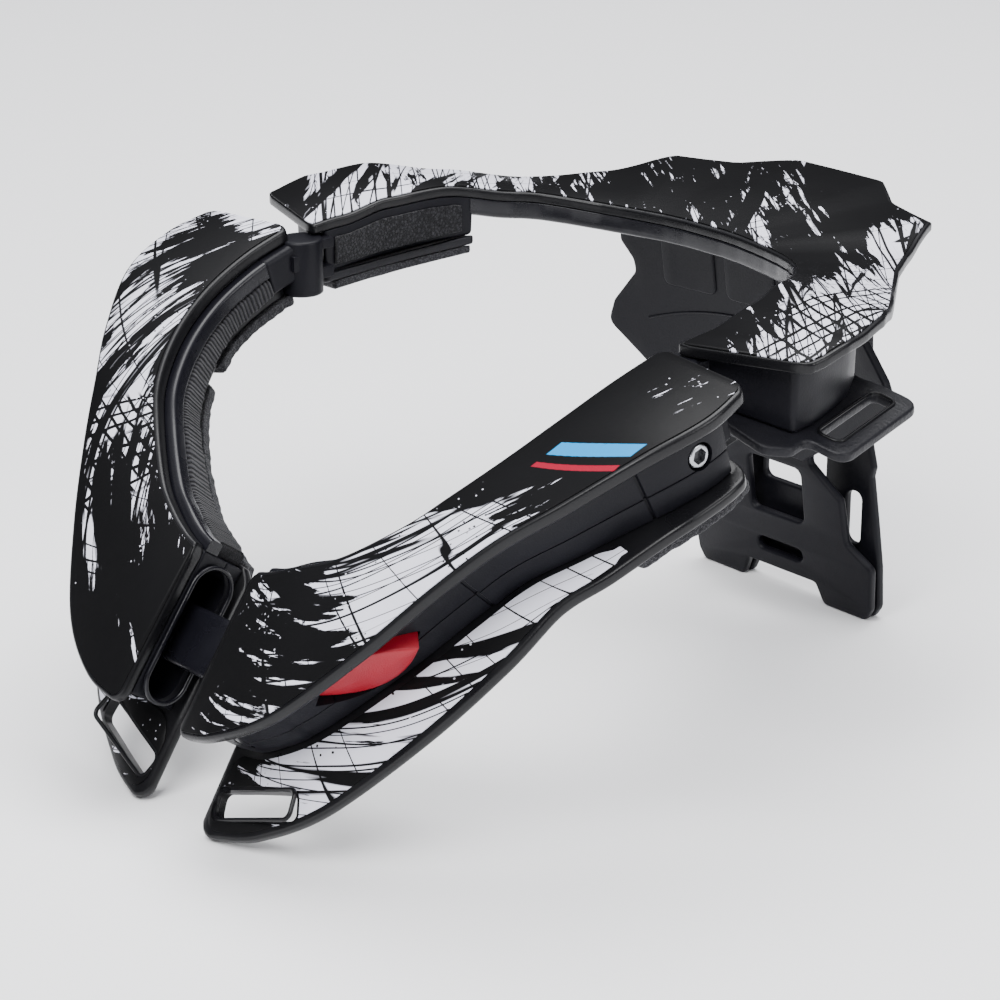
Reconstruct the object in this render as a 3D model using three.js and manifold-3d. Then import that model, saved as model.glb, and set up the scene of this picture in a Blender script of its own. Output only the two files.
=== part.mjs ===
// A neck brace for motocross: a rear deck with its boxes and back frame, and two front
// halves that swing open on upright pins. The wearer faces -Y, and +X is the wearer's left.
// Heights are counted from the shoulder line of the rear deck until the last step stands
// the brace on its feet. All lengths are in millimetres.
import * as THREE from 'three';
import { mergeVertices } from 'three/addons/utils/BufferGeometryUtils.js';
import Module from 'manifold-3d';

const wasm = await Module();
wasm.setup();

// Driving sizes of the ring, seen from above.
const shoulderWidth = 265;
const neckWidth = 177;
const rearReach = 160;
const neckRear = 88;
const frontReach = 152;
const neckFront = 119;
// How far the front of the neck opening and the front edge lie below the shoulders.
const neckDrop = 68;
const frontDrop = 113;
// How far the chest plates reach past the front decks, droop outside the walls, and run
// on toward the middle.
const chestReach = 21;
const chestDroop = 6.5;
const chestEnd = 5;
// How much the undersides rise toward the neck, at the front halves and at the rear boxes.
const neckRise = 7;
const boxRise = 0.242;
const boxRiseRear = 0.052;
// The rear deck rises and dips by this much.
const rearRise = 5.5;

// Thicknesses and clearances.
const deckThick = 4.5;
const rearDeckThick = 3.5;
const deckEdge = 1.2;
const filmThick = 0.6;
const filmInset = 1.6;
const plateThick = 4;
const foamThick = 4;
const baseThick = 3.2;
const baseFoamThick = 3;
const neckPadThick = 4.5;
const rearPadThick = 1.6;
const gap = 0.3;
const bodyDepth = 20.2;
const upperDepth = 12;
const shellInset = 1;
const wallInset = 5;
const cornerRound = 6;
const foamRound = 5;

// The hinge at each side, with its pin.
const hingeX = 90;
const hingeY = 16;
const earRadius = 5;
const pinRadius = 2;
const pinClearance = 0.15;
const earTop = 5.6;
const earHeight = 3.4;
const knuckleHeight = 5.6;
const hingeGap = 0.4;
const pinInset = 0.1;
const earReach = 9;
const knuckleReach = 16;

// The catch at the front: a socket in one half and a tongue from the other.
const socketDepth = 16;
const socketWall = 4.5;
const tongueEngage = 6.5;
const tongueThick = 8;
const tongueWidth = 20;

// The release button.
const buttonLength = 38;
const buttonHeight = 17;
const buttonDepth = 8;
const buttonTravel = 3.5;
const buttonProud = 1.4;
const buttonGap = 0.4;

// Strap slots for 25 mm webbing.
const slotLength = 33;
const slotWidth = 7;
const chestSlotWidth = 8.5;
const chestSlotMargin = 3.3;
const tabWidth = 19;
const tabLength = 46;
const tabTurn = 11.5;
const tabRound = 6;
const tabInset = 10.2;
const tabReach = 31.5;

// The side bolt and its socket.
const boltRadius = 3.8;
const boltLength = 7;
const boltSocketRadius = 2.1;
const boltSocketDepth = 4;

// The rear boxes, the back panel and the back frame.
const boxLength = 58;
const boxStart = 8;
const boxInset = 11;
const boxCorner = 17;
const boxSeat = 0.6;
const baseMargin = 4;
const baseLip = 13.5;
const baseShoulder = 8;
const padMargin = 5;
const archDepth = 6;
const archBand = 14;
const panelThick = 3.7;
const panelWidth = 138;
const panelBow = 7;
const frameThick = 3.5;
const frameTop = 60;
const frameFootY = 136;
const frameLean = 8.5;
const footOuter = 43;
const footInner = 20;
const rearPlateY = 139.9;
const barHeight = 8;
const barNotch = 3.5;
const barWindowWidth = 26;
const barWindowHeight = 22;
const barWindowLift = 42;
const lowWindowWidth = 22;
const lowWindowHeight = 5;
const lowWindowLift = 17;
const backSlotWidth = 7;
const backSlotHeight = 20;
const backSlotSpacing = 58;
const backSlotLift = 36;
const rearWindowWidth = 30;
const rearWindowHeight = 60;
const rearWindowLift = 70;
const windowRound = 3;

// Rows run from the side joint to the front gap. Each entry is a share of the size named
// for its column: in* of the neck opening, out* of the outer outline, reach, droop and
// rise of chestReach, chestDroop and neckRise.
const frontColumns = ['inX', 'inY', 'inZ', 'outX', 'outY', 'outZ', 'reach', 'droop', 'rise'];
const frontRows = [
  [1.01, 0.17, 0.00, 0.974, 0.163, 0.010, 0.02, 0.00, 1.0],
  [1.00, 0.34, 0.09, 0.994, 0.283, 0.058, 0.04, 0.00, 1.0],
  [0.97, 0.50, 0.21, 0.951, 0.421, 0.128, 0.17, 0.00, 0.9],
  [0.91, 0.64, 0.35, 0.853, 0.546, 0.248, 0.36, 0.08, 0.8],
  [0.81, 0.76, 0.51, 0.755, 0.638, 0.354, 0.48, 0.15, 0.7],
  [0.70, 0.83, 0.65, 0.661, 0.730, 0.487, 0.67, 0.45, 0.6],
  [0.51, 0.92, 0.83, 0.543, 0.836, 0.668, 0.72, 0.80, 0.4],
  [0.36, 0.97, 0.91, 0.392, 0.944, 0.858, 0.88, 0.95, 0.2],
  [0.25, 0.99, 0.97, 0.242, 0.997, 0.956, 0.98, 1.00, 0.0],
  [0.165, 1.00, 1.00, 0.115, 1.000, 1.000, 1.17, 0.25, 0.0],
];

// Rows run from the side joint to the middle of the rear deck, whose two spurs are the
// rows with the farthest reach. Shares of half the widths and of the rear reaches.
const rearColumns = ['inX', 'inY', 'outX', 'outY'];
const rearRows = [
  [0.99, -0.15, 0.980, 0.000],
  [0.99, -0.07, 0.986, 0.050],
  [0.98, 0.07, 0.985, 0.108],
  [0.97, 0.19, 0.967, 0.176],
  [0.94, 0.32, 0.940, 0.250],
  [0.89, 0.45, 0.887, 0.322],
  [0.83, 0.58, 0.819, 0.394],
  [0.76, 0.69, 0.749, 0.466],
  [0.68, 0.78, 0.678, 0.538],
  [0.58, 0.86, 0.611, 0.609],
  [0.48, 0.915, 0.556, 0.689],
  [0.38, 0.95, 0.502, 0.775],
  [0.30, 0.97, 0.457, 0.858],
  [0.20, 0.99, 0.276, 0.906],
  [0.10, 1.00, 0.145, 0.998],
  [0.00, 1.00, 0.000, 1.000],
];

// Height of the rear deck along its reach: shares of rearReach and of rearRise.
const rearHeights = [
  [-0.10, -0.2],
  [0.00, 0.0],
  [0.13, 0.6],
  [0.25, 0.9],
  [0.39, 0.3],
  [0.54, -0.3],
  [0.70, -0.1],
  [0.86, 0.6],
  [1.00, 1.0],
];

// Half outline of the back panel: shares of its half width and of frameTop, going down.
const panelOutline = [
  [0.86, 0.09],
  [0.87, 0.34],
  [0.80, 0.45],
  [0.79, 0.53],
  [0.95, 0.75],
  [1.00, 0.90],
  [0.78, 1.12],
  [0.42, 1.38],
  [0.28, 1.50],
];

// Half outline of the H-shaped front plate of the back frame, going down: shares of
// footOuter and of the height between frameTop and the floor.
const frameOutline = [
  [0.42, 0.00],
  [0.42, 0.37],
  [0.74, 0.49],
  [0.77, 0.68],
  [1.04, 0.76],
  [1.00, 0.95],
  [0.94, 1.00],
];

// Half outline of the rear plate of the back frame, in the same shares. Above it the plate
// narrows to its top, under the rear deck.
const rearPlateTop = 0.70;
const rearPlateOutline = [
  [0.80, 0.25],
  [0.87, 0.37],
  [0.85, 0.41],
  [0.92, 0.60],
  [0.98, 0.78],
  [1.00, 0.95],
  [0.93, 1.00],
];

const black = new THREE.MeshStandardMaterial({ color: 0x1c1c20, roughness: 0.5, metalness: 0 });
const gloss = new THREE.MeshStandardMaterial({ color: 0x141417, roughness: 0.2, metalness: 0 });
const film = new THREE.MeshStandardMaterial({ color: 0xe9e9f2, roughness: 0.3, metalness: 0 });
const foam = new THREE.MeshStandardMaterial({ color: 0x3a3a40, roughness: 0.95, metalness: 0 });
const loop = new THREE.MeshStandardMaterial({ color: 0x202024, roughness: 1, metalness: 0 });
const red = new THREE.MeshStandardMaterial({ color: 0xa01830, roughness: 0.35, metalness: 0 });
const steel = new THREE.MeshStandardMaterial({ color: 0xb8bac0, roughness: 0.3, metalness: 1 });

const brace = new THREE.Group();

function addPiece(name, geometry, material) {
  const mesh = new THREE.Mesh(geometry, material);
  mesh.name = name;
  brace.add(mesh);
  return mesh;
}

// Solids that are cut or joined.

function toSolid(geometry) {
  const bare = geometry.clone();
  bare.deleteAttribute('normal');
  bare.deleteAttribute('uv');
  const merged = mergeVertices(bare, 1e-4);
  const vertProperties = new Float32Array(merged.attributes.position.array);
  const triVerts = new Uint32Array(merged.index.array);
  return new wasm.Manifold(new wasm.Mesh({ numProp: 3, vertProperties, triVerts }));
}

function toGeometry(solid) {
  const mesh = solid.getMesh();
  const geometry = new THREE.BufferGeometry();
  const positions = new Float32Array(mesh.vertProperties);
  geometry.setAttribute('position', new THREE.BufferAttribute(positions, 3));
  geometry.setIndex(new THREE.BufferAttribute(new Uint32Array(mesh.triVerts), 1));
  geometry.computeVertexNormals();
  return geometry;
}

function cut(geometry, tools) {
  const solid = tools.reduce((left, tool) => left.subtract(toSolid(tool)), toSolid(geometry));
  return toGeometry(solid);
}

function join(geometries) {
  const solids = geometries.map(toSolid);
  return toGeometry(solids.reduce((left, right) => left.add(right)));
}

function flipFaces(geometry) {
  const index = geometry.index.array;
  for (let i = 0; i < index.length; i += 3) {
    const keep = index[i + 1];
    index[i + 1] = index[i + 2];
    index[i + 2] = keep;
  }
}

// The same piece for the wearer's right side.
function mirrored(geometry) {
  const copy = mergeVertices(geometry.clone());
  copy.applyMatrix4(new THREE.Matrix4().makeScale(-1, 1, 1));
  flipFaces(copy);
  copy.computeVertexNormals();
  return copy;
}

function signedVolume(geometry) {
  const p = geometry.attributes.position;
  const index = geometry.index.array;
  const corner = i => new THREE.Vector3().fromBufferAttribute(p, index[i]);
  let volume = 0;
  for (let i = 0; i < index.length; i += 3) {
    volume += corner(i).dot(corner(i + 1).cross(corner(i + 2))) / 6;
  }
  return volume;
}

// Interpolation along a table of rows.

function tableRow(rows, t, smooth) {
  const last = rows.length - 1;
  const place = THREE.MathUtils.clamp(t, 0, 1) * last;
  const k = Math.min(Math.floor(place), last - 1);
  const f = place - k;
  const before = rows[Math.max(k - 1, 0)];
  const after = rows[Math.min(k + 2, last)];
  return rows[k].map((a, column) => {
    const b = rows[k + 1][column];
    if (!smooth) return a + (b - a) * f;
    const slopeA = (b - before[column]) / (k > 0 ? 2 : 1);
    const slopeB = (after[column] - a) / (k + 2 <= last ? 2 : 1);
    const f2 = f * f;
    const f3 = f2 * f;
    return a * (2 * f3 - 3 * f2 + 1) + slopeA * (f3 - 2 * f2 + f)
      + b * (3 * f2 - 2 * f3) + slopeB * (f3 - f2);
  });
}

function namedRow(columns, values) {
  return Object.fromEntries(columns.map((name, i) => [name, values[i]]));
}

function heightAt(y) {
  const share = y / rearReach;
  let k = 0;
  while (k < rearHeights.length - 2 && rearHeights[k + 1][0] < share) k += 1;
  const [from, low] = rearHeights[k];
  const [to, high] = rearHeights[k + 1];
  const f = THREE.MathUtils.clamp((share - from) / (to - from), 0, 1);
  const ease = f * f * (3 - 2 * f);
  return rearRise * (low + (high - low) * ease);
}

// A frame across the front half at t, from 0 at the side joint to 1 at the front gap.
function frontEdges(t) {
  const row = namedRow(frontColumns, tableRow(frontRows, t, true));
  const inner = new THREE.Vector3(
    row.inX * neckWidth / 2, -row.inY * neckFront, -row.inZ * neckDrop);
  const outer = new THREE.Vector3(
    row.outX * shoulderWidth / 2, -row.outY * frontReach, -row.outZ * frontDrop);
  return {
    inner, outer,
    reach: row.reach * chestReach, droop: row.droop * chestDroop, rise: row.rise * neckRise,
  };
}

function frontFrame(t) {
  const step = 0.02;
  const here = frontEdges(t);
  const low = frontEdges(THREE.MathUtils.clamp(t - step, 0, 1 - step));
  const high = frontEdges(Math.min(t + step, 1));
  const ahead = high.inner.clone().add(high.outer).sub(low.inner).sub(low.outer).normalize();
  const beyond = Math.max(t - 1, 0) * frontLength;
  const across = here.outer.clone().sub(here.inner);
  const width = across.length();
  across.normalize();
  const normal = across.clone().cross(ahead).normalize();
  if (normal.z < 0) normal.negate();
  const origin = here.inner.clone().addScaledVector(ahead, beyond);
  return { ...here, t, origin, across, normal, ahead, width, fold: width - wallInset };
}

// A frame across the rear deck at t, from 0 at the left joint to 1 at the right one.
function rearFrame(t) {
  const side = t > 0.5 ? -1 : 1;
  const half = t > 0.5 ? 2 - 2 * t : 2 * t;
  const row = namedRow(rearColumns, tableRow(rearRows, half, false));
  const inner = new THREE.Vector3(side * row.inX * neckWidth / 2, row.inY * neckRear, 0);
  const outer = new THREE.Vector3(side * row.outX * shoulderWidth / 2, row.outY * rearReach, 0);
  inner.z = heightAt(inner.y);
  outer.z = heightAt(outer.y);
  const across = outer.clone().sub(inner);
  const width = across.length();
  across.normalize();
  const normal = new THREE.Vector3(0, 0, 1);
  return { t, origin: inner, across, normal, width, turned: side < 0 };
}

function place(frame, s, h) {
  return frame.origin.clone().addScaledVector(frame.across, s).addScaledVector(frame.normal, h);
}

// A closed solid through the section that each frame holds. A section runs along its upper
// side and back along its lower one, with as many points on each.
function loft(frames, sectionAt) {
  const flat = frames.map(sectionAt);
  const count = flat[0].length;
  const points = flat.flatMap((section, i) => section.map(([s, h]) => place(frames[i], s, h)));
  const index = [];
  for (let i = 0; i + 1 < frames.length; i += 1) {
    for (let j = 0; j < count; j += 1) {
      const a = i * count + j;
      const b = i * count + ((j + 1) % count);
      const outward = flat[i][j][0] <= flat[i][(j + 1) % count][0];
      // The faces of the right side are split as those of the left.
      if (outward !== Boolean(frames[i + 1].turned)) index.push(a, b, a + count, b, b + count, a + count);
      else index.push(a, b, b + count, a, b + count, a + count);
    }
  }
  const last = (frames.length - 1) * count;
  for (let i = 0; i + 1 < count / 2; i += 1) {
    const [a, b, c, d] = [i, i + 1, count - 2 - i, count - 1 - i];
    index.push(a, c, b, a, d, c);
    index.push(last + a, last + b, last + c, last + a, last + c, last + d);
  }
  const geometry = new THREE.BufferGeometry();
  geometry.setAttribute('position', new THREE.Float32BufferAttribute(
    points.flatMap(point => point.toArray()), 3));
  geometry.setIndex(index);
  if (signedVolume(geometry) < 0) flipFaces(geometry);
  geometry.computeVertexNormals();
  return geometry;
}

// A plate's section with broken edges, from s0 to s1, between the heights that top and
// bottom give at each s. The faces also bend at fold, where the wall above them stands.
function plateSection(s0, s1, top, bottom, edge, fold) {
  const folds = fold === undefined ? [] : [fold];
  if (edge === 0) {
    return [[s0, top(s0)], ...folds.map(s => [s, top(s)]), [s1, top(s1)],
      [s1, bottom(s1)], ...folds.map(s => [s, bottom(s)]), [s0, bottom(s0)]];
  }
  return [
    [s0, top(s0) - edge],
    [s0 + edge, top(s0 + edge)],
    ...folds.map(s => [s, top(s)]),
    [s1 - edge, top(s1 - edge)],
    [s1, top(s1) - edge],
    [s1, bottom(s1) + edge],
    [s1 - edge, bottom(s1 - edge)],
    ...folds.map(s => [s, bottom(s)]),
    [s0 + edge, bottom(s0 + edge)],
    [s0, bottom(s0) + edge],
  ];
}

// How far a rounded end draws its sides in, at a distance from the end.
function drawIn(distance, radius) {
  if (distance >= radius) return 0;
  return radius - Math.sqrt(Math.max(radius * radius - (radius - distance) ** 2, 0));
}

const frontLength = frontReach * 1.45;
const rearLength = (rearReach + shoulderWidth / 2) * 2;

// Where the pieces of a front half start and end along it.
const flangeStart = 0.035;
const shellStart = 0.06;
const padStart = 0.09;
const shoulderEnd = 0.30;
const chestStart = 0.34;
const padEnd = 0.97;
const flangeEnd = 1 + chestEnd / frontLength;

// All pieces of a strip share the same stations, so that stacked faces stay parallel.
function sharedStations(length, marks, count) {
  const near = [0, 0.12, 0.4, 1].map(share => share * cornerRound / length);
  const ends = [...near, ...near.map(d => 1 - d)];
  const taken = [...ends, ...marks];
  const body = [];
  for (let i = 1; i < count; i += 1) {
    const t = i / count;
    if (taken.every(other => Math.abs(other - t) > 0.45 / count)) body.push(t);
  }
  return [...taken, ...body].sort((left, right) => left - right);
}

const flangeTip = [0.5, 0.85, 1].map(share => 1 + share * (flangeEnd - 1));
const frontStations = sharedStations(frontLength,
  [flangeStart, shellStart, padStart, shoulderEnd, chestStart, padEnd, ...flangeTip], 15);
const frontFrames = frontStations.map(frontFrame);

const shellTop = -deckThick - gap;
const shellBottom = shellTop - bodyDepth;
const partingLine = shellTop - upperDepth;

// The height of the walls' underside at s, which rises toward the neck and droops outside.
function underside(frame, s) {
  const { fold, width, reach, droop, rise } = frame;
  if (s <= fold) return shellBottom + rise * (1 - s / fold);
  return shellBottom - droop * (s - fold) / (width + reach - fold);
}

// A plate of a front half. rangeAt gives its sides and the heights of its two faces.
function frontPlate(t0, t1, radius, rangeAt) {
  const slack = 1e-6;
  const frames = frontFrames.filter(frame => frame.t > t0 - slack && frame.t < t1 + slack);
  return loft(frames, frame => {
    const distance = Math.min(frame.t - t0, t1 - frame.t) * frontLength;
    const { s0, s1, top, bottom, edge, folded } = rangeAt(frame);
    const pull = Math.min(drawIn(distance, radius), (s1 - s0) / 4);
    const narrow = Math.min(s1 - s0 - 2 * pull, top(s1) - bottom(s1));
    const broken = Math.min(edge, narrow / 3);
    const fold = folded ? Math.min(frame.fold, s1 - pull - 1.5 * broken - gap) : undefined;
    return plateSection(s0 + pull, s1 - pull, top, bottom, broken, fold);
  });
}

const filmStart = frontStations[1];

// A prism whose outline lies in the plane of two directions and that runs along a third.
function prism(shape, depth, origin, right, up) {
  const geometry = new THREE.ExtrudeGeometry(
    shape, { depth, bevelEnabled: false, curveSegments: 4 });
  const out = right.clone().cross(up).normalize();
  geometry.applyMatrix4(new THREE.Matrix4().makeBasis(right, up, out).setPosition(origin));
  return geometry;
}

function roundedRect(width, height, radius) {
  const shape = new THREE.Shape();
  const x = width / 2;
  const y = height / 2;
  const r = Math.min(radius, x * 0.98, y * 0.98);
  shape.absarc(x - r, y - r, r, 0, Math.PI / 2, false);
  shape.absarc(-x + r, y - r, r, Math.PI / 2, Math.PI, false);
  shape.absarc(-x + r, -y + r, r, Math.PI, Math.PI * 1.5, false);
  shape.absarc(x - r, -y + r, r, Math.PI * 1.5, Math.PI * 2, false);
  return shape;
}

// The catch. Its outline lies across the front end, and it runs along X.
const endFrame = frontFrame(1);
const socketHigh = bodyDepth - 2 * socketWall + 3.5;
const socketLong = endFrame.width - 2 * socketWall - 2;
const socketMidS = endFrame.width / 2 - 1;
const socketMidH = (shellTop + shellBottom) / 2 + 0.5;

function acrossEnd(shape, fromX, toX) {
  const right = new THREE.Vector3(0, endFrame.across.y, endFrame.across.z).normalize();
  const up = new THREE.Vector3(0, -right.z, right.y);
  if (up.z < 0) up.negate();
  const middle = place(endFrame, socketMidS, socketMidH);
  const out = right.clone().cross(up);
  const start = out.x > 0 ? Math.min(fromX, toX) : Math.max(fromX, toX);
  middle.x = start;
  return prism(shape, Math.abs(toX - fromX), middle, right, up);
}

function socketTool() {
  const shape = roundedRect(socketLong, socketHigh, socketHigh / 2);
  return acrossEnd(shape, endFrame.origin.x - cornerRound, endFrame.origin.x + socketDepth);
}

function tongue() {
  const rootShape = roundedRect(socketLong - 2 * gap, socketHigh - 2 * gap, socketHigh / 2 - gap);
  const rootEnd = endFrame.origin.x + socketDepth - gap;
  const rootStart = endFrame.origin.x + socketDepth / 4;
  const root = acrossEnd(rootShape, rootStart, rootEnd);
  const bladeShape = roundedRect(tongueWidth, tongueThick, 2);
  const blade = acrossEnd(bladeShape, -endFrame.origin.x - tongueEngage, rootStart + 1);
  const low = endFrame.normal.clone().multiplyScalar(-(socketHigh - tongueThick) / 2 + 1);
  low.x = 0;
  blade.translate(low.x, low.y, low.z);
  return join([root, blade]);
}

// The release button, a lens in the outer wall of the left half.
const buttonFrame = frontFrame(0.685);
const buttonWall = buttonFrame.fold;
const buttonMidH = shellTop - gap - buttonHeight / 2;

function lens(length, height) {
  const shape = new THREE.Shape();
  shape.moveTo(-length / 2, 0);
  shape.quadraticCurveTo(0, -height, length / 2, 0);
  shape.quadraticCurveTo(0, height, -length / 2, 0);
  return shape;
}

function lensPrism(length, height, from, depth) {
  const origin = place(buttonFrame, from, buttonMidH);
  const out = buttonFrame.across;
  const up = buttonFrame.normal;
  const right = up.clone().cross(out);
  return prism(lens(length, height), depth, origin, right, up);
}

function buttonPocket() {
  const depth = buttonDepth + buttonTravel + buttonGap;
  return lensPrism(buttonLength + 3 * buttonGap, buttonHeight + 2 * buttonGap,
    buttonWall - depth, depth + cornerRound * 2);
}

function releaseButton() {
  return lensPrism(buttonLength, buttonHeight, buttonWall - buttonDepth,
    buttonDepth + buttonProud);
}

// The side bolt, set into the outer wall near the joint.
const boltFrame = frontFrame(0.127);
const boltMidH = partingLine + boltRadius;

function boltPrism(radius, from, depth, sides) {
  const shape = new THREE.Shape();
  for (let i = 0; i < sides; i += 1) {
    const angle = Math.PI * 2 * i / sides;
    const x = radius * Math.cos(angle);
    const y = radius * Math.sin(angle);
    if (i === 0) shape.moveTo(x, y);
    else shape.lineTo(x, y);
  }
  const origin = place(boltFrame, from, boltMidH);
  const right = boltFrame.normal.clone().cross(boltFrame.across);
  return prism(shape, depth, origin, right, boltFrame.normal);
}

const boltWall = boltFrame.fold;

function sideBolt() {
  const body = boltPrism(boltRadius, boltWall - boltLength, boltLength, 20);
  const socket = boltPrism(boltSocketRadius, boltWall - boltSocketDepth, boltSocketDepth + 1, 6);
  return cut(body, [socket]);
}

function boltPocket() {
  return boltPrism(boltRadius + gap, boltWall - boltLength - gap, boltLength + cornerRound, 20);
}

// A chest strap slot, cut square to the chest plate, midway over its reach. It ends at a
// margin from the front end of the deck.
function chestSlot() {
  const middleX = endFrame.origin.x + chestSlotMargin + slotLength / 2;
  const spotAt = frame => {
    const s = frame.width + frame.reach / 2;
    return place(frame, s, underside(frame, s) - plateThick * 3);
  };
  let low = 0.5;
  let high = 1;
  for (let pass = 0; pass < 30; pass += 1) {
    const t = (low + high) / 2;
    if (spotAt(frontFrame(t)).x > middleX) low = t;
    else high = t;
  }
  const frame = frontFrame(low);
  const right = frame.ahead.clone();
  const up = frame.normal.clone().cross(right);
  const outline = roundedRect(slotLength, chestSlotWidth, 2.5);
  return prism(outline, plateThick * 5, spotAt(frame), right, up);
}

// Hinge parts: a plate with a round end about the pin, between two heights. Its root lies
// the given reach behind the pin, or before it where the reach is negative.
function hingeLeaf(reach, z0, z1) {
  const toward = Math.sign(reach);
  const shape = new THREE.Shape();
  const turn = toward > 0 ? 0 : Math.PI;
  shape.absarc(hingeX, -hingeY, earRadius, Math.PI + turn, Math.PI * 2 + turn, false);
  shape.lineTo(hingeX + earRadius * toward, -hingeY + reach);
  shape.lineTo(hingeX - earRadius * toward, -hingeY + reach);
  const hole = new THREE.Path();
  hole.absarc(hingeX, -hingeY, pinRadius + pinClearance, 0, Math.PI * 2, true);
  shape.holes.push(hole);
  const geometry = new THREE.ExtrudeGeometry(
    shape, { depth: z0 - z1, bevelEnabled: false, curveSegments: 8 });
  geometry.translate(0, 0, z1);
  return geometry;
}

const knuckleTop = -earTop - earHeight - hingeGap;
const knuckleBottom = knuckleTop - knuckleHeight;

function knuckle() {
  return hingeLeaf(-knuckleReach, knuckleTop, knuckleBottom);
}

function frontHalf(side) {
  const isLeft = side === 'left';
  const handed = geometry => (isLeft ? geometry : mirrored(geometry));
  const add = (name, geometry, material) => addPiece(`${name}_${side}`, handed(geometry), material);

  const flat = h => () => h;
  add('front_deck', frontPlate(0, 1, cornerRound, frame => (
    { s0: 0, s1: frame.width, top: flat(0), bottom: flat(-deckThick), edge: deckEdge })), black);
  add('front_graphic', frontPlate(filmStart, 1 - filmStart, cornerRound - filmInset, frame => ({
    s0: filmInset, s1: frame.width - filmInset, top: flat(gap + filmThick), bottom: flat(gap),
    edge: 0,
  })), film);

  const socket = socketTool();
  const pockets = isLeft ? [socket, buttonPocket(), boltPocket()] : [socket, boltPocket()];
  const parting = (frame, s) => partingLine + 0.6 * frame.rise * (1 - s / frame.fold);
  const upper = frontPlate(shellStart, 1, 1, frame => (
    { s0: shellInset, s1: frame.fold, top: flat(shellTop),
      bottom: s => parting(frame, s) + gap / 2, edge: 0.5 }));
  const lower = frontPlate(shellStart, 1, 1, frame => (
    { s0: shellInset, s1: frame.fold, top: s => parting(frame, s) - gap / 2,
      bottom: s => underside(frame, s), edge: 0.5 }));
  add('upper_shell', cut(join([upper, knuckle()]), pockets), black);
  add('lower_shell', cut(lower, pockets), black);

  const slot = chestSlot();
  const below = (frame, drop) => s => underside(frame, s) - drop;
  add('chest_plate', cut(frontPlate(flangeStart, flangeEnd, cornerRound, frame => (
    { s0: 0, s1: frame.width + frame.reach, top: below(frame, gap),
      bottom: below(frame, gap + plateThick), edge: deckEdge, folded: true }
  )), [slot]), black);
  add('chest_graphic', cut(frontPlate(shoulderEnd, 1, cornerRound, frame => ({
    s0: frame.fold + 2,
    s1: frame.width + frame.reach - filmInset,
    top: below(frame, -filmThick),
    bottom: below(frame, 0),
    edge: 0,
  })), [slot]), film);

  const padding = (frame, s1, folded) => ({
    s0: -1, s1, top: below(frame, plateThick + 2 * gap),
    bottom: below(frame, plateThick + foamThick + 2 * gap), edge: 0, folded,
  });
  add('shoulder_foam', frontPlate(flangeStart, shoulderEnd, 3,
    frame => padding(frame, frame.width + frame.reach - 2, true)), foam);
  add('chest_foam', frontPlate(chestStart, padEnd, foamRound,
    frame => padding(frame, frame.fold - 1, false)), foam);
  add('neck_pad', frontPlate(padStart, padEnd, 1, frame => (
    { s0: shellInset - gap - neckPadThick, s1: shellInset - gap, top: flat(shellTop),
      bottom: s => underside(frame, 0), edge: 0.8 })), loop);
  add('side_bolt', sideBolt(), steel);
  if (isLeft) {
    addPiece('catch_tongue', tongue(), black);
    addPiece('release_button', releaseButton(), red);
  }
}

// The rear deck and its film.

const rearStations = sharedStations(rearLength, [], (rearRows.length - 1) * 1.6);

function rearPlate(first, inset, h0, h1, edge) {
  const start = rearStations[first];
  const radius = cornerRound - inset;
  const frames = rearStations.slice(first, rearStations.length - first).map(rearFrame);
  return loft(frames, frame => {
    const distance = Math.min(frame.t - start, 1 - start - frame.t) * rearLength;
    const pull = drawIn(distance, radius);
    return plateSection(inset + pull, frame.width - inset - pull, () => h0, () => h1, edge);
  });
}

// Flat shapes seen from above, between two heights.
function slab(shape, z0, z1) {
  const geometry = new THREE.ExtrudeGeometry(
    shape, { depth: z0 - z1, bevelEnabled: false, curveSegments: 6 });
  geometry.translate(0, 0, z1);
  return geometry;
}

function shapeOf(points) {
  const shape = new THREE.Shape();
  points.forEach(([x, y], i) => (i === 0 ? shape.moveTo(x, y) : shape.lineTo(x, y)));
  return shape;
}

const boxBottom = shellBottom;
const baseTop = boxBottom - gap;
const baseBottom = baseTop - baseThick;

// The underside of the rear boxes rises from its outer front corner toward the neck.
function boxRiseAt(x, y) {
  return boxRise * (shoulderWidth / 2 - boxCorner - x) + boxRiseRear * (y - boxCorner / 2);
}

// All that lies over the left arm of the rear deck's underside, to seat the box below it.
function overDeck() {
  const frames = rearStations.map(rearFrame).filter(frame => frame.t < 0.5);
  const near = frames.filter(frame => frame.origin.y < boxRear + cornerRound * 3);
  return loft(near, frame => plateSection(-cornerRound, frame.width + cornerRound,
    () => bodyDepth, () => -rearDeckThick - boxSeat, 0));
}

// Lifts every point at or below a height with the rising underside.
function riseBelow(geometry, limit) {
  const p = geometry.attributes.position;
  for (let i = 0; i < p.count; i += 1) {
    if (p.getZ(i) < limit) p.setZ(i, p.getZ(i) + boxRiseAt(p.getX(i), p.getY(i)));
  }
  return geometry;
}

const boxFront = -boxStart;
const boxRear = boxFront + boxLength;
const edgeStep = boxLength / 8;

// The point where the rear deck's inner or outer edge has the reach y, moved into the deck.
function onEdge(which, inset, y) {
  let low = 0;
  let high = 0.5;
  for (let pass = 0; pass < 30; pass += 1) {
    const middle = (low + high) / 2;
    const frame = rearFrame(middle);
    const reach = which === 'inner' ? frame.origin.y : place(frame, frame.width, 0).y;
    if (reach < y) low = middle;
    else high = middle;
  }
  const frame = rearFrame(low);
  const point = place(frame, which === 'inner' ? inset : frame.width - inset, 0);
  return [point.x, point.y];
}

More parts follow.
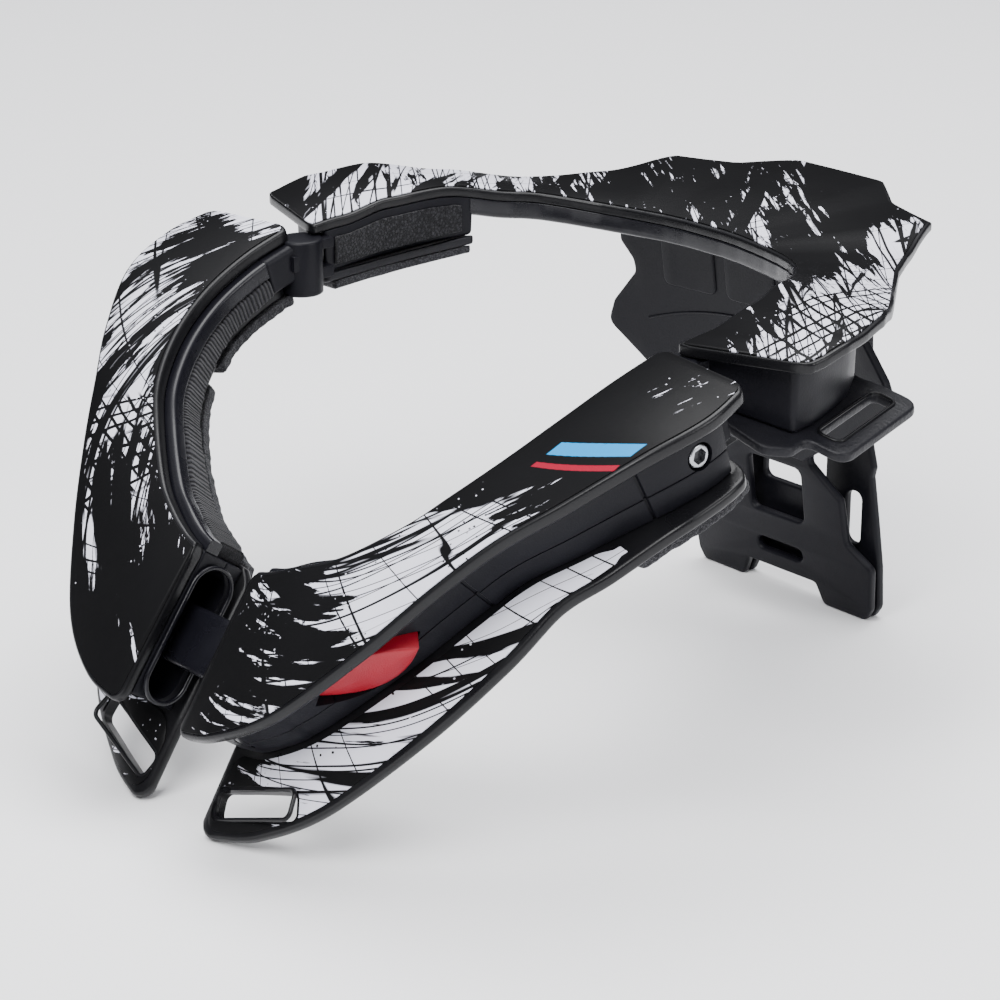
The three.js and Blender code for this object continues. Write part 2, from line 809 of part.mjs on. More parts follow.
// Points along an edge from one reach to another. All of them lie on one chain of chords,
// so that pieces which follow the same edge keep their distance.
function rearEdge(which, inset, fromY, toY) {
  const reaches = [fromY];
  for (let y = boxFront; y < toY - gap; y += edgeStep) if (y > fromY + gap) reaches.push(y);
  reaches.push(toY);
  return reaches.map(y => {
    const start = boxFront + Math.floor((y - boxFront) / edgeStep) * edgeStep;
    const share = (y - start) / edgeStep;
    const before = onEdge(which, inset, start);
    const after = onEdge(which, inset, start + edgeStep);
    return before.map((value, i) => value + (after[i] - value) * share);
  });
}

function boxShape(inset, front, rear) {
  const inner = rearEdge('inner', shellInset + inset, front, rear);
  const outer = rearEdge('outer', boxInset + inset, front + boxCorner, rear + 2);
  return shapeOf([...inner, ...outer.reverse()]);
}

function armBox() {
  const tall = slab(boxShape(0, boxFront, boxRear), rearRise * 2, boxBottom);
  const body = cut(tall, [overDeck()]);
  const upperEar = hingeLeaf(earReach, -earTop, -earTop - earHeight);
  const lowerEar = hingeLeaf(earReach, knuckleBottom - hingeGap, boxBottom);
  return join([body, upperEar, lowerEar].map(piece => riseBelow(piece, boxBottom + gap)));
}

function hingePin() {
  const top = -earTop - pinInset;
  const bottom = boxBottom + boxRiseAt(hingeX, -hingeY) + pinInset;
  const geometry = new THREE.CylinderGeometry(pinRadius, pinRadius, top - bottom, 16);
  geometry.rotateX(Math.PI / 2);
  geometry.translate(hingeX, -hingeY, (top + bottom) / 2);
  return mergeVertices(geometry);
}

function basePlate() {
  const inner = rearEdge('inner', 0, boxFront + 1, boxRear);
  const outer = rearEdge('outer', boxInset - baseMargin, boxFront + boxCorner, boxRear);
  const corner = [
    [shoulderWidth / 2 - baseShoulder, boxFront + baseShoulder],
    [shoulderWidth / 2 - baseLip, boxFront + 1],
  ];
  const outline = shapeOf([...inner, ...outer.reverse(), ...corner]);
  const body = slab(outline, baseTop, baseBottom);
  const tabShape = roundedRect(tabWidth, tabLength, tabRound);
  tabShape.holes.push(new THREE.Path(roundedRect(slotWidth, slotLength, 2).getPoints(3)));
  const tab = new THREE.ExtrudeGeometry(
    tabShape, { depth: baseThick, bevelEnabled: false, curveSegments: 3 });
  tab.rotateZ(THREE.MathUtils.degToRad(tabTurn));
  tab.translate(shoulderWidth / 2 - tabInset, tabReach, baseBottom);
  return join([body, tab].map(piece => riseBelow(piece, 0)));
}

function baseFoam() {
  const top = baseBottom - gap;
  const outline = boxShape(1, boxFront + baseMargin, boxRear - 1);
  return riseBelow(slab(outline, top, top - baseFoamThick), 0);
}

function rearPad() {
  const face = shellInset - gap;
  const [front, rear] = [boxFront + padMargin, boxRear - padMargin];
  const inner = rearEdge('inner', face, front, rear);
  const proud = rearEdge('inner', face - rearPadThick, front, rear);
  const bottom = boxBottom + 2;
  return riseBelow(
    slab(shapeOf([...inner, ...proud.reverse()]), shellTop - 1.5, bottom), bottom + gap);
}

// The inner wall behind the neck, between the two boxes, follows the deck's underside.
function rearArch() {
  const frames = rearStations.map(rearFrame).filter(frame => frame.origin.y > boxRear + 2 * gap);
  const top = -rearDeckThick - boxSeat;
  return loft(frames, () => plateSection(
    shellInset, shellInset + archBand, () => top, () => top - archDepth, deckEdge));
}

// Upright plates behind the neck: outlines in X and Z, extruded along Y.
function uprightPlate(points, holes, thick) {
  const mirroredPoints = points.map(([x, z]) => [-x, z]).reverse();
  const shape = shapeOf([...points, ...mirroredPoints]);
  for (const hole of holes) shape.holes.push(new THREE.Path(hole.getPoints(4)));
  const geometry = new THREE.ExtrudeGeometry(
    shape, { depth: thick, bevelEnabled: false, curveSegments: 5 });
  geometry.rotateX(Math.PI / 2);
  geometry.translate(0, thick, 0);
  return geometry;
}

frontHalf('left');
frontHalf('right');

// The floor lies under the lowest edge of the chest plates.
const chest = new THREE.Box3().setFromObject(brace);
const floorZ = chest.min.z;
const frameHeight = -frameTop - floorZ;

// A window in an upright plate, with its middle at x and at a lift over the floor.
function frameWindow(x, lift, width, height) {
  const shape = roundedRect(width, height, windowRound);
  return shapeOf(shape.getPoints(4).map(point => [point.x + x, point.y + floorZ + lift]));
}

function leaned(geometry) {
  const lean = THREE.MathUtils.degToRad(frameLean);
  geometry.translate(0, 0, -floorZ);
  geometry.rotateX(lean);
  geometry.translate(0, frameFootY, floorZ);
  return geometry;
}

function framePoints(outline) {
  return outline.map(([x, z]) => [x * footOuter, -frameTop - z * frameHeight]);
}

function backFrameFront() {
  const outer = framePoints(frameOutline);
  const points = [...outer, [footInner, floorZ], [footInner - barNotch, floorZ + barHeight]];
  const upper = frameWindow(0, barWindowLift, barWindowWidth, barWindowHeight);
  const lower = frameWindow(0, lowWindowLift, lowWindowWidth, lowWindowHeight);
  return leaned(uprightPlate(points, [upper, lower], frameThick));
}

function backPanel() {
  const half = panelWidth / 2;
  const points = panelOutline.map(([x, z]) => [x * half, -z * frameTop]);
  const geometry = uprightPlate(points, [], panelThick);
  const p = geometry.attributes.position;
  for (let i = 0; i < p.count; i += 1) {
    p.setY(i, p.getY(i) - panelThick - gap - panelBow * (p.getX(i) / half) ** 2);
  }
  return leaned(geometry);
}

function backFrameRear() {
  const top = heightAt(rearPlateY) - rearDeckThick - gap;
  const points = [
    [rearPlateTop * footOuter, top], ...framePoints(rearPlateOutline),
    [footInner, floorZ], [footInner - barNotch, floorZ + barHeight],
  ];
  const slots = [-1, 1].map(side => frameWindow(
    side * backSlotSpacing / 2, backSlotLift, backSlotWidth, backSlotHeight));
  const middle = frameWindow(0, rearWindowLift, rearWindowWidth, rearWindowHeight);
  const geometry = uprightPlate(points, [...slots, middle], frameThick);
  geometry.translate(0, rearPlateY, 0);
  return geometry;
}

addPiece('rear_deck', rearPlate(0, 0, 0, -rearDeckThick, deckEdge), black);
addPiece('rear_graphic', rearPlate(1, filmInset, gap + filmThick, gap, 0), film);
addPiece('rear_arch', rearArch(), gloss);
for (const [side, handed] of [['left', geometry => geometry], ['right', mirrored]]) {
  addPiece(`arm_box_${side}`, handed(armBox()), black);
  addPiece(`hinge_pin_${side}`, handed(hingePin()), steel);
  addPiece(`base_plate_${side}`, handed(basePlate()), black);
  addPiece(`base_foam_${side}`, handed(baseFoam()), foam);
  addPiece(`rear_pad_${side}`, handed(rearPad()), loop);
}
addPiece('back_panel', backPanel(), black);
addPiece('back_frame_front', backFrameFront(), black);
addPiece('back_frame_rear', backFrameRear(), black);

// Stand the brace on the floor with its outline centred over the origin.
const box = new THREE.Box3().setFromObject(brace);
const middle = box.getCenter(new THREE.Vector3());
brace.position.set(-middle.x, -middle.y, -box.min.z);

export default brace;
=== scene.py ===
import math

import bmesh
import bpy
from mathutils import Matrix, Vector, noise


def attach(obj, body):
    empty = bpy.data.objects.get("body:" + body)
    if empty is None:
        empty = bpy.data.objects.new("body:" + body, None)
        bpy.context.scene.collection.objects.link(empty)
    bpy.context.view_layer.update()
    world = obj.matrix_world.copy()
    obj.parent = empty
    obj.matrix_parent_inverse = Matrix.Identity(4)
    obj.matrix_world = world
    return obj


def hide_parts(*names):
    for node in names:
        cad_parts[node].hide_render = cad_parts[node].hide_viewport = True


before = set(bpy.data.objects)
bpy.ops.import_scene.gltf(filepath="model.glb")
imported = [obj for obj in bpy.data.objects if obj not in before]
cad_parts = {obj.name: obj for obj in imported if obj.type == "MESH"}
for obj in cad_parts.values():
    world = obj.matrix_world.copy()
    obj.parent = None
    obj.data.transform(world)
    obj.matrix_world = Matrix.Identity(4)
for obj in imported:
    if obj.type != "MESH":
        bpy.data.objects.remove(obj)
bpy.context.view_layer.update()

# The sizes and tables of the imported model, in millimetres. Heights are counted from the
# shoulder line, which SHIFT moves into the row frame.
SHIFT = Vector((0, -3.9956, 150.1521))
SHOULDER, NECK = 265, 177
REAR_REACH, NECK_REAR = 160, 88
FRONT_REACH, NECK_FRONT = 152, 119
NECK_DROP, FRONT_DROP = 68, 113
CHEST_REACH, CHEST_DROOP, CHEST_END = 21, 6.5, 5
NECK_RISE, BOX_RISE, BOX_RISE_REAR, REAR_RISE = 7, 0.242, 0.052, 5.5
DECK, REAR_DECK, FILM_INSET, PLATE, FOAM, GAP = 4.5, 3.5, 1.6, 4, 4, 0.3
BASE, BASE_FOAM = 3.2, 3
BODY_DEPTH, UPPER_DEPTH, SHELL_INSET, WALL_INSET, CORNER = 20.2, 12, 1, 5, 6
FRONT_LENGTH = FRONT_REACH * 1.45
SHELL_TOP = -DECK - GAP
SHELL_BOTTOM = SHELL_TOP - BODY_DEPTH
PARTING = SHELL_TOP - UPPER_DEPTH
FLANGE_START, SHELL_START, PAD_START = 0.035, 0.06, 0.09
SHOULDER_END, CHEST_START, PAD_END = 0.30, 0.34, 0.97
FLANGE_END = 1 + CHEST_END / FRONT_LENGTH
BOX_FRONT, BOX_REAR, BOX_INSET, BOX_CORNER = -8, 50, 11, 17

FRONT_KEYS = ("inX", "inY", "inZ", "outX", "outY", "outZ", "reach", "droop", "rise")
FRONT_ROWS = [
    (1.01, 0.17, 0.00, 0.974, 0.163, 0.010, 0.02, 0.00, 1.0),
    (1.00, 0.34, 0.09, 0.994, 0.283, 0.058, 0.04, 0.00, 1.0),
    (0.97, 0.50, 0.21, 0.951, 0.421, 0.128, 0.17, 0.00, 0.9),
    (0.91, 0.64, 0.35, 0.853, 0.546, 0.248, 0.36, 0.08, 0.8),
    (0.81, 0.76, 0.51, 0.755, 0.638, 0.354, 0.48, 0.15, 0.7),
    (0.70, 0.83, 0.65, 0.661, 0.730, 0.487, 0.67, 0.45, 0.6),
    (0.51, 0.92, 0.83, 0.543, 0.836, 0.668, 0.72, 0.80, 0.4),
    (0.36, 0.97, 0.91, 0.392, 0.944, 0.858, 0.88, 0.95, 0.2),
    (0.25, 0.99, 0.97, 0.242, 0.997, 0.956, 0.98, 1.00, 0.0),
    (0.165, 1.00, 1.00, 0.115, 1.000, 1.000, 1.17, 0.25, 0.0),
]
REAR_ROWS = [
    (0.99, -0.15, 0.980, 0.000), (0.99, -0.07, 0.986, 0.050), (0.98, 0.07, 0.985, 0.108),
    (0.97, 0.19, 0.967, 0.176), (0.94, 0.32, 0.940, 0.250), (0.89, 0.45, 0.887, 0.322),
    (0.83, 0.58, 0.819, 0.394), (0.76, 0.69, 0.749, 0.466), (0.68, 0.78, 0.678, 0.538),
    (0.58, 0.86, 0.611, 0.609), (0.48, 0.915, 0.556, 0.689), (0.38, 0.95, 0.502, 0.775),
    (0.30, 0.97, 0.457, 0.858), (0.20, 0.99, 0.276, 0.906), (0.10, 1.00, 0.145, 0.998),
    (0.00, 1.00, 0.000, 1.000),
]
REAR_HEIGHTS = [
    (-0.10, -0.2), (0.00, 0.0), (0.13, 0.6), (0.25, 0.9), (0.39, 0.3), (0.54, -0.3),
    (0.70, -0.1), (0.86, 0.6), (1.00, 1.0),
]


# Frames along the front halves and the rear deck.

def clamp(x, low, high):
    return max(low, min(high, x))


def table_row(rows, t, smooth):
    last = len(rows) - 1
    at = clamp(t, 0, 1) * last
    k = min(int(at), last - 1)
    f = at - k
    before, after = rows[max(k - 1, 0)], rows[min(k + 2, last)]
    out = []
    for c, a in enumerate(rows[k]):
        b = rows[k + 1][c]
        if not smooth:
            out.append(a + (b - a) * f)
            continue
        slope_a = (b - before[c]) / (2 if k > 0 else 1)
        slope_b = (after[c] - a) / (2 if k + 2 <= last else 1)
        f2, f3 = f * f, f * f * f
        out.append(a * (2 * f3 - 3 * f2 + 1) + slope_a * (f3 - 2 * f2 + f)
                   + b * (3 * f2 - 2 * f3) + slope_b * (f3 - f2))
    return out


def height_at(y):
    share = y / REAR_REACH
    k = 0
    while k < len(REAR_HEIGHTS) - 2 and REAR_HEIGHTS[k + 1][0] < share:
        k += 1
    (x0, low), (x1, high) = REAR_HEIGHTS[k], REAR_HEIGHTS[k + 1]
    f = clamp((share - x0) / (x1 - x0), 0, 1)
    return REAR_RISE * (low + (high - low) * f * f * (3 - 2 * f))


class Frame:
    def __init__(self, t, origin, outer, normal=None, ahead=None, **more):
        self.t = t
        self.origin = origin
        self.across = outer - origin
        self.width = self.across.length
        self.across.normalize()
        self.fold = self.width - WALL_INSET
        self.reach = self.droop = self.rise = 0
        self.__dict__.update(more)
        if normal is None:
            normal = self.across.cross(ahead).normalized()
            normal = -normal if normal.z < 0 else normal
        self.normal = normal
        self.ahead = ahead

    def place(self, s, h):
        return self.origin + self.across * s + self.normal * h


def front_edges(t):
    row = dict(zip(FRONT_KEYS, table_row(FRONT_ROWS, t, True)))
    inner = Vector((row["inX"] * NECK / 2, -row["inY"] * NECK_FRONT, -row["inZ"] * NECK_DROP))
    outer = Vector((row["outX"] * SHOULDER / 2, -row["outY"] * FRONT_REACH,
                    -row["outZ"] * FRONT_DROP))
    return inner, outer, row


def front_frame(t):
    inner, outer, row = front_edges(t)
    low, high = front_edges(clamp(t - 0.02, 0, 0.98)), front_edges(min(t + 0.02, 1))
    ahead = (high[0] + high[1] - low[0] - low[1]).normalized()
    beyond = ahead * max(t - 1, 0) * FRONT_LENGTH
    return Frame(t, inner + beyond, outer + beyond, ahead=ahead, reach=row["reach"] * CHEST_REACH,
                 droop=row["droop"] * CHEST_DROOP, rise=row["rise"] * NECK_RISE)


def rear_frame(t):
    side = -1 if t > 0.5 else 1
    row = table_row(REAR_ROWS, 2 - 2 * t if t > 0.5 else 2 * t, False)
    inner = Vector((side * row[0] * NECK / 2, row[1] * NECK_REAR, 0))
    outer = Vector((side * row[2] * SHOULDER / 2, row[3] * REAR_REACH, 0))
    inner.z, outer.z = height_at(inner.y), height_at(outer.y)
    return Frame(t, inner, outer, normal=Vector((0, 0, 1)))


def underside(f, s):
    if s <= f.fold:
        return SHELL_BOTTOM + f.rise * (1 - s / f.fold)
    return SHELL_BOTTOM - f.droop * (s - f.fold) / (f.width + f.reach - f.fold)


# Mesh helpers. All of them take millimetres in the shoulder frame.

def draw_in(distance, radius):
    if distance >= radius or radius <= 0:
        return 0
    return radius - math.sqrt(max(radius ** 2 - (radius - distance) ** 2, 0))


def fillet(corners, radii, steps=4):
    """Corner points rounded with curves that keep the same number of points."""
    points = []
    for i, (corner, radius) in enumerate(zip(corners, radii)):
        p = Vector(corner)
        if radius <= 0:
            points.append(p)
            continue
        a, b = Vector(corners[i - 1]) - p, Vector(corners[(i + 1) % len(corners)]) - p
        limit = 0.45 * min(a.length, b.length)
        angle = a.angle(b, math.pi)
        reach = min(radius / max(math.tan(angle / 2), 0.05), limit)
        start, end = p + a.normalized() * reach, p + b.normalized() * reach
        for k in range(steps + 1):
            f = k / steps
            points.append(start * (1 - f) ** 2 + p * 2 * f * (1 - f) + end * f * f)
    return points


def make(name, verts, faces, mat, uvs=None, mirror=False, smooth=35):
    mesh = bpy.data.meshes.new(name)
    sign = -1 if mirror else 1
    verts = [((v + SHIFT).x * sign / 1000, (v + SHIFT).y / 1000, (v + SHIFT).z / 1000)
             for v in verts]
    if mirror:
        faces = [tuple(reversed(f)) for f in faces]
    mesh.from_pydata(verts, [], faces)
    if uvs:
        layer = mesh.uv_layers.new(name="UVMap")
        for loop in mesh.loops:
            layer.data[loop.index].uv = uvs[loop.vertex_index]
    return finish_mesh(name, mesh, mat, smooth)


def finish_mesh(name, mesh, mat, smooth=35):
    bm = bmesh.new()
    bm.from_mesh(mesh)
    bmesh.ops.recalc_face_normals(bm, faces=bm.faces)
    bm.to_mesh(mesh)
    bm.free()
    mesh.shade_smooth()
    mesh.set_sharp_from_angle(angle=math.radians(smooth))
    obj = bpy.data.objects.new(name, mesh)
    bpy.context.scene.collection.objects.link(obj)
    if mat:
        mesh.materials.append(mat)
    return obj


def ring_faces(rings, count, wrap=False):
    """Faces between rings of points, closed into a loop or with a cap at each end."""
    faces, total = [], rings * count
    for i in range(rings if wrap else rings - 1):
        for k in range(count):
            a, b = i * count + k, i * count + (k + 1) % count
            faces.append((a, b, (b + count) % total, (a + count) % total))
    if not wrap:
        faces.append(tuple(range(count)))
        faces.append(tuple(total - 1 - k for k in range(count)))
    return faces


def loft(name, frames, section, mat, mirror=False, uv=None):
    """A closed solid through the sections; each is a list of (s, h) points."""
    verts, uvs = [], []
    sections = [section(f) for f in frames]
    count = len(sections[0])
    for f, points in zip(frames, sections):
        for s, h in points:
            verts.append(f.place(s, h))
            if uv:
                uvs.append(uv(f, s, h))
    return make(name, verts, ring_faces(len(frames), count), mat, uvs, mirror)


def stations(t0, t1, length, radius, count, marks=()):
    near = [0, 0.03, 0.12, 0.27, 0.5, 0.75, 1]
    ts = {t0 + d * radius / length for d in near} | {t1 - d * radius / length for d in near}
    ts |= set(marks)
    step = (t1 - t0) / count
    for i in range(1, count):
        t = t0 + i * step
        if all(abs(t - other) > step * 0.3 for other in ts):
            ts.add(t)
    return sorted(ts)


def front_strip(name, t0, t1, plan, edge, ranges, mat, mirror, radii, count=150, marks=(),
                folded=False, steps=4):
    """A rounded strip of a front half. ranges(f) gives s0, s1 and the two height functions."""
    frames = [front_frame(t) for t in stations(t0, t1, FRONT_LENGTH, max(plan, edge), count, marks)]

    def section(f):
        d = min(f.t - t0, t1 - f.t) * FRONT_LENGTH
        s0, s1, top, bottom = ranges(f)
        pull = min(draw_in(d, plan), (s1 - s0) / 4)
        thin = min(draw_in(d, edge), abs(top(s1) - bottom(s1)) * 0.42)
        a, b = s0 + pull, s1 - pull
        if folded:
            k = min(f.fold, b - 4)
            corners = [(a, top(a) - thin), (k, top(k) - thin), (b, top(b) - thin),
                       (b, bottom(b) + thin), (k, bottom(k) + thin), (a, bottom(a) + thin)]
            rounds = [radii[0], 6, radii[1], radii[2], 6, radii[3]]
        else:
            corners = [(a, top(a) - thin), (b, top(b) - thin), (b, bottom(b) + thin),
                       (a, bottom(a) + thin)]
            rounds = list(radii)
        limit = max((top(b) - bottom(b)) / 2 - thin, 0.1)
        rounds = [r if r == 6 and folded else min(r, limit) for r in rounds]
        return [(p.x, p.y) for p in fillet(corners, rounds, steps)]

    def uv(f, s, h):
        return (f.t * FRONT_LENGTH / 100, s / 100)

    return loft(name, frames, section, mat, mirror, uv)


def flat(h):
    return lambda s: h


def prism(name, outline, depth, origin, right, up, bevel, mat, mirror=False):
    """An outline in the plane of right and up, run along their cross product, edges rounded."""
    out = right.cross(up).normalized()
    bm = bmesh.new()
    ring = [bm.verts.new(right * x + up * y) for x, y in outline]
    face = bm.faces.new(ring)
    made = bmesh.ops.extrude_face_region(bm, geom=[face])
    moved = [v for v in made["geom"] if isinstance(v, bmesh.types.BMVert)]
    bmesh.ops.translate(bm, verts=moved, vec=out * depth)
    bmesh.ops.recalc_face_normals(bm, faces=bm.faces)
    if bevel > 0:
        rims = [e for e in bm.edges
                if any(len(f.verts) == len(outline) and len(outline) > 4 for f in e.link_faces)
                or len(outline) == 4]
        bmesh.ops.bevel(bm, geom=rims, offset=bevel, segments=3, affect="EDGES",
                        profile=0.5, clamp_overlap=True)
    for v in bm.verts:
        v.co = v.co + origin
    verts = [v.co.copy() for v in bm.verts]
    bm.verts.index_update()
    faces = [tuple(v.index for v in f.verts) for f in bm.faces]
    bm.free()
    return make(name, verts, faces, mat, None, mirror)


def round_rect(width, height, radius, steps=6):
    x, y = width / 2, height / 2
    radius = min(radius, x * 0.98, y * 0.98)
    points = []
    for cx, cy, start in ((x, y, 0), (-x, y, 90), (-x, -y, 180), (x, -y, 270)):
        for k in range(steps + 1):
            a = math.radians(start + 90 * k / steps)
            points.append((cx - math.copysign(radius, cx) + radius * math.cos(a),
                           cy - math.copysign(radius, cy) + radius * math.sin(a)))
    return points


def plate(name, outer, holes, thick, bevel, mat, mapping, mirror=False, cuts=()):
    """A flat plate with holes and rounded edges. mapping takes its points to their place."""
    curve = bpy.data.curves.new(name + "_curve", "CURVE")
    curve.dimensions = "2D"
    curve.fill_mode = "BOTH"
    curve.extrude = thick / 2 - bevel
    curve.bevel_depth = bevel
    curve.bevel_resolution = 3
    curve.offset = -bevel
    for loop in [outer] + list(holes):
        spline = curve.splines.new("POLY")
        spline.points.add(len(loop) - 1)
        for point, (x, y) in zip(spline.points, loop):
            point.co = (x, y, 0, 1)
        spline.use_cyclic_u = True
    holder = bpy.data.objects.new(name + "_curve", curve)
    bpy.context.scene.collection.objects.link(holder)
    bpy.context.view_layer.update()
    mesh = bpy.data.meshes.new_from_object(holder)
    bpy.data.objects.remove(holder)
    bpy.data.curves.remove(curve)
    bm = bmesh.new()
    bm.from_mesh(mesh)
    bpy.data.meshes.remove(mesh)
    bmesh.ops.remove_doubles(bm, verts=bm.verts, dist=0.01)
    for axis, positions in cuts:
        for at in positions:
            bmesh.ops.bisect_plane(bm, geom=bm.verts[:] + bm.edges[:] + bm.faces[:],
                                   plane_co=axis * at, plane_no=axis, dist=0.001)
    bm.verts.index_update()
    verts = [mapping(v.co.copy()) for v in bm.verts]
    faces = [tuple(v.index for v in f.verts) for f in bm.faces]
    bm.free()
    return make(name, verts, faces, mat, None, mirror, 40)


def evaluated(obj):
    """Applies the object's modifiers to its mesh."""
    graph = bpy.context.evaluated_depsgraph_get()
    mesh = bpy.data.meshes.new_from_object(obj.evaluated_get(graph))
    old = obj.data
    obj.modifiers.clear()
    obj.data = mesh
    bpy.data.meshes.remove(old)
    return obj


def carve(obj, cutters):
    """Cuts the other objects out of this one."""
    for cutter in cutters:
        mod = obj.modifiers.new("cut", "BOOLEAN")
        mod.operation = "DIFFERENCE"
        mod.solver = "EXACT"
        mod.object = cutter
    evaluated(obj)
    obj.data.set_sharp_from_angle(angle=math.radians(35))
    return obj


def drop(*objs):
    for obj in objs:
        bpy.data.objects.remove(obj)


def merged(name, objs, mat):
    """One piece from several objects."""
    bm = bmesh.new()
    for obj in objs:
        bm.from_mesh(obj.data)
    mesh = bpy.data.meshes.new(name)
    bm.to_mesh(mesh)
    bm.free()
    drop(*objs)
    obj = bpy.data.objects.new(name, mesh)
    bpy.context.scene.collection.objects.link(obj)
    mesh.materials.clear()
    mesh.materials.append(mat)
    return obj


def tube(name, path, radius, mat, mirror=False, closed=True, sides=10, squash=None):
    """A round bead along a path of points."""
    verts = []
    count = len(path)
    for i, p in enumerate(path):
        before = path[i - 1] if closed or i else p
        after = path[(i + 1) % count] if closed or i + 1 < count else p
        along = (after - before).normalized()
        side = along.cross(squash or Vector((0, 0, 1))).normalized()
        up = side.cross(along).normalized()
        for k in range(sides):
            a = 2 * math.pi * k / sides
            verts.append(p + side * radius * math.cos(a) + up * radius * math.sin(a))
    return make(name, verts, ring_faces(count, sides, closed), mat, None, mirror, 60)


def roughen(obj, amount, scale, seed=0.0):
    """Small uneven movement of the surface, for foam and fabric."""
    for v in obj.data.vertices:
        p = v.co * scale + Vector((seed, 0, 0))
        v.co += v.normal * (noise.noise(p) * amount / 1000)


# Materials.

class Nodes:
    """Short names for the shader nodes of one material."""

    def __init__(self, name):
        self.mat = bpy.data.materials.new(name)
        self.mat.use_nodes = True
        self.tree = self.mat.node_tree
        self.shader = self.tree.nodes["Principled BSDF"]
        self.coords = self.tree.nodes.new("ShaderNodeTexCoord")

    def add(self, kind, **props):
        node = self.tree.nodes.new(kind)
        for key, value in props.items():
            setattr(node, key, value)
        return node

    def link(self, a, b):
        if isinstance(a, (int, float, tuple)):
            b.default_value = a
        else:
            self.tree.links.new(a, b)

    def math(self, op, a, b=0.0):
        node = self.add("ShaderNodeMath", operation=op)
        self.link(a, node.inputs[0])
        self.link(b, node.inputs[1])
        return node.outputs[0]

    def times(self, a, b):
        return self.math("MULTIPLY", a, b)

    def plus(self, a, b):
        return self.math("ADD", a, b)

    def minus(self, a, b):
        return self.math("SUBTRACT", a, b)

    def mapped(self, source, angle=0, scale=(1, 1, 1), shift=(0, 0, 0)):
        turn = self.add("ShaderNodeMapping")
        self.link(source, turn.inputs["Vector"])
        turn.inputs["Rotation"].default_value = (0, 0, math.radians(angle))
        turn.inputs["Location"].default_value = shift
        stretch = self.add("ShaderNodeMapping")
        self.link(turn.outputs[0], stretch.inputs["Vector"])
        stretch.inputs["Scale"].default_value = scale
        return stretch.outputs[0]

    def noise(self, source, scale, detail=3, rough=0.5):
        node = self.add("ShaderNodeTexNoise")
        self.link(source, node.inputs["Vector"])
        node.inputs["Scale"].default_value = scale
        node.inputs["Detail"].default_value = detail
        node.inputs["Roughness"].default_value = rough
        return node.outputs["Fac"]

    def cells(self, source, scale):
        node = self.add("ShaderNodeTexVoronoi")
        self.link(source, node.inputs["Vector"])
        node.inputs["Scale"].default_value = scale
        return node.outputs["Distance"]

    def ramp(self, value, stops):
        node = self.add("ShaderNodeValToRGB")
        items = node.color_ramp.elements
        while len(items) > 1:
            items.remove(items[-1])
        for i, (at, level) in enumerate(stops):
            item = items[0] if i == 0 else items.new(at)
            item.position = at
            item.color = (level, level, level, 1)
        self.link(value, node.inputs[0])
        return node.outputs["Color"]

    def span(self, value, low, high, to_low=0.0, to_high=1.0):
        node = self.add("ShaderNodeMapRange")
        node.clamp = True
        self.link(value, node.inputs[0])
        for i, number in enumerate((low, high, to_low, to_high)):
            node.inputs[i + 1].default_value = number
        return node.outputs[0]

    def mix(self, factor, a, b):
        node = self.add("ShaderNodeMix", data_type="RGBA")
        self.link(factor, node.inputs["Factor"])
        self.link(a, node.inputs["A"] if "A" in node.inputs else node.inputs[6])
        self.link(b, node.inputs["B"] if "B" in node.inputs else node.inputs[7])
        return node.outputs[2]

    def bump(self, height, distance):
        node = self.add("ShaderNodeBump")
        node.inputs["Strength"].default_value = 1
        node.inputs["Distance"].default_value = distance
        self.link(height, node.inputs["Height"])
        self.link(node.outputs[0], self.shader.inputs["Normal"])

    def set(self, **values):
        for key, value in values.items():
            self.shader.inputs[key.replace("_", " ")].default_value = value


def colour(r, g, b):
    return (r, g, b, 1)


def plastic(name, dark, light, rough, grain, depth, spec):
    n = Nodes(name)
    at = n.coords.outputs["Object"]
    cloud = n.noise(at, 60, 4)
    fine = n.noise(at, grain, 2, 0.6)
    n.link(n.mix(cloud, dark, light), n.shader.inputs["Base Color"])
    n.link(n.span(cloud, 0.3, 0.7, rough - 0.06, rough + 0.06), n.shader.inputs["Roughness"])
    n.bump(fine, depth)
    n.set(Specular_IOR_Level=spec)
    return n.mat


def fabric(name, dark, light, scale, depth, sheen):
    n = Nodes(name)
    at = n.coords.outputs["Object"]
    loops = n.cells(at, scale)
    fuzz = n.noise(at, scale * 1.7, 5, 0.7)
    both = n.plus(n.times(n.span(loops, 0.0, 0.6, 1, 0), 0.6), fuzz)
    n.link(n.mix(n.span(both, 0.4, 1.1), dark, light), n.shader.inputs["Base Color"])
    n.bump(both, depth)
    n.set(Roughness=0.95, Specular_IOR_Level=0.2, Sheen_Weight=sheen, Sheen_Roughness=0.5)
    return n.mat


INK = colour(0.0055, 0.0055, 0.0060)
WHITE = colour(0.74, 0.74, 0.82)
CYAN = colour(0.005, 0.27, 0.62)
RED = colour(0.30, 0.010, 0.030)


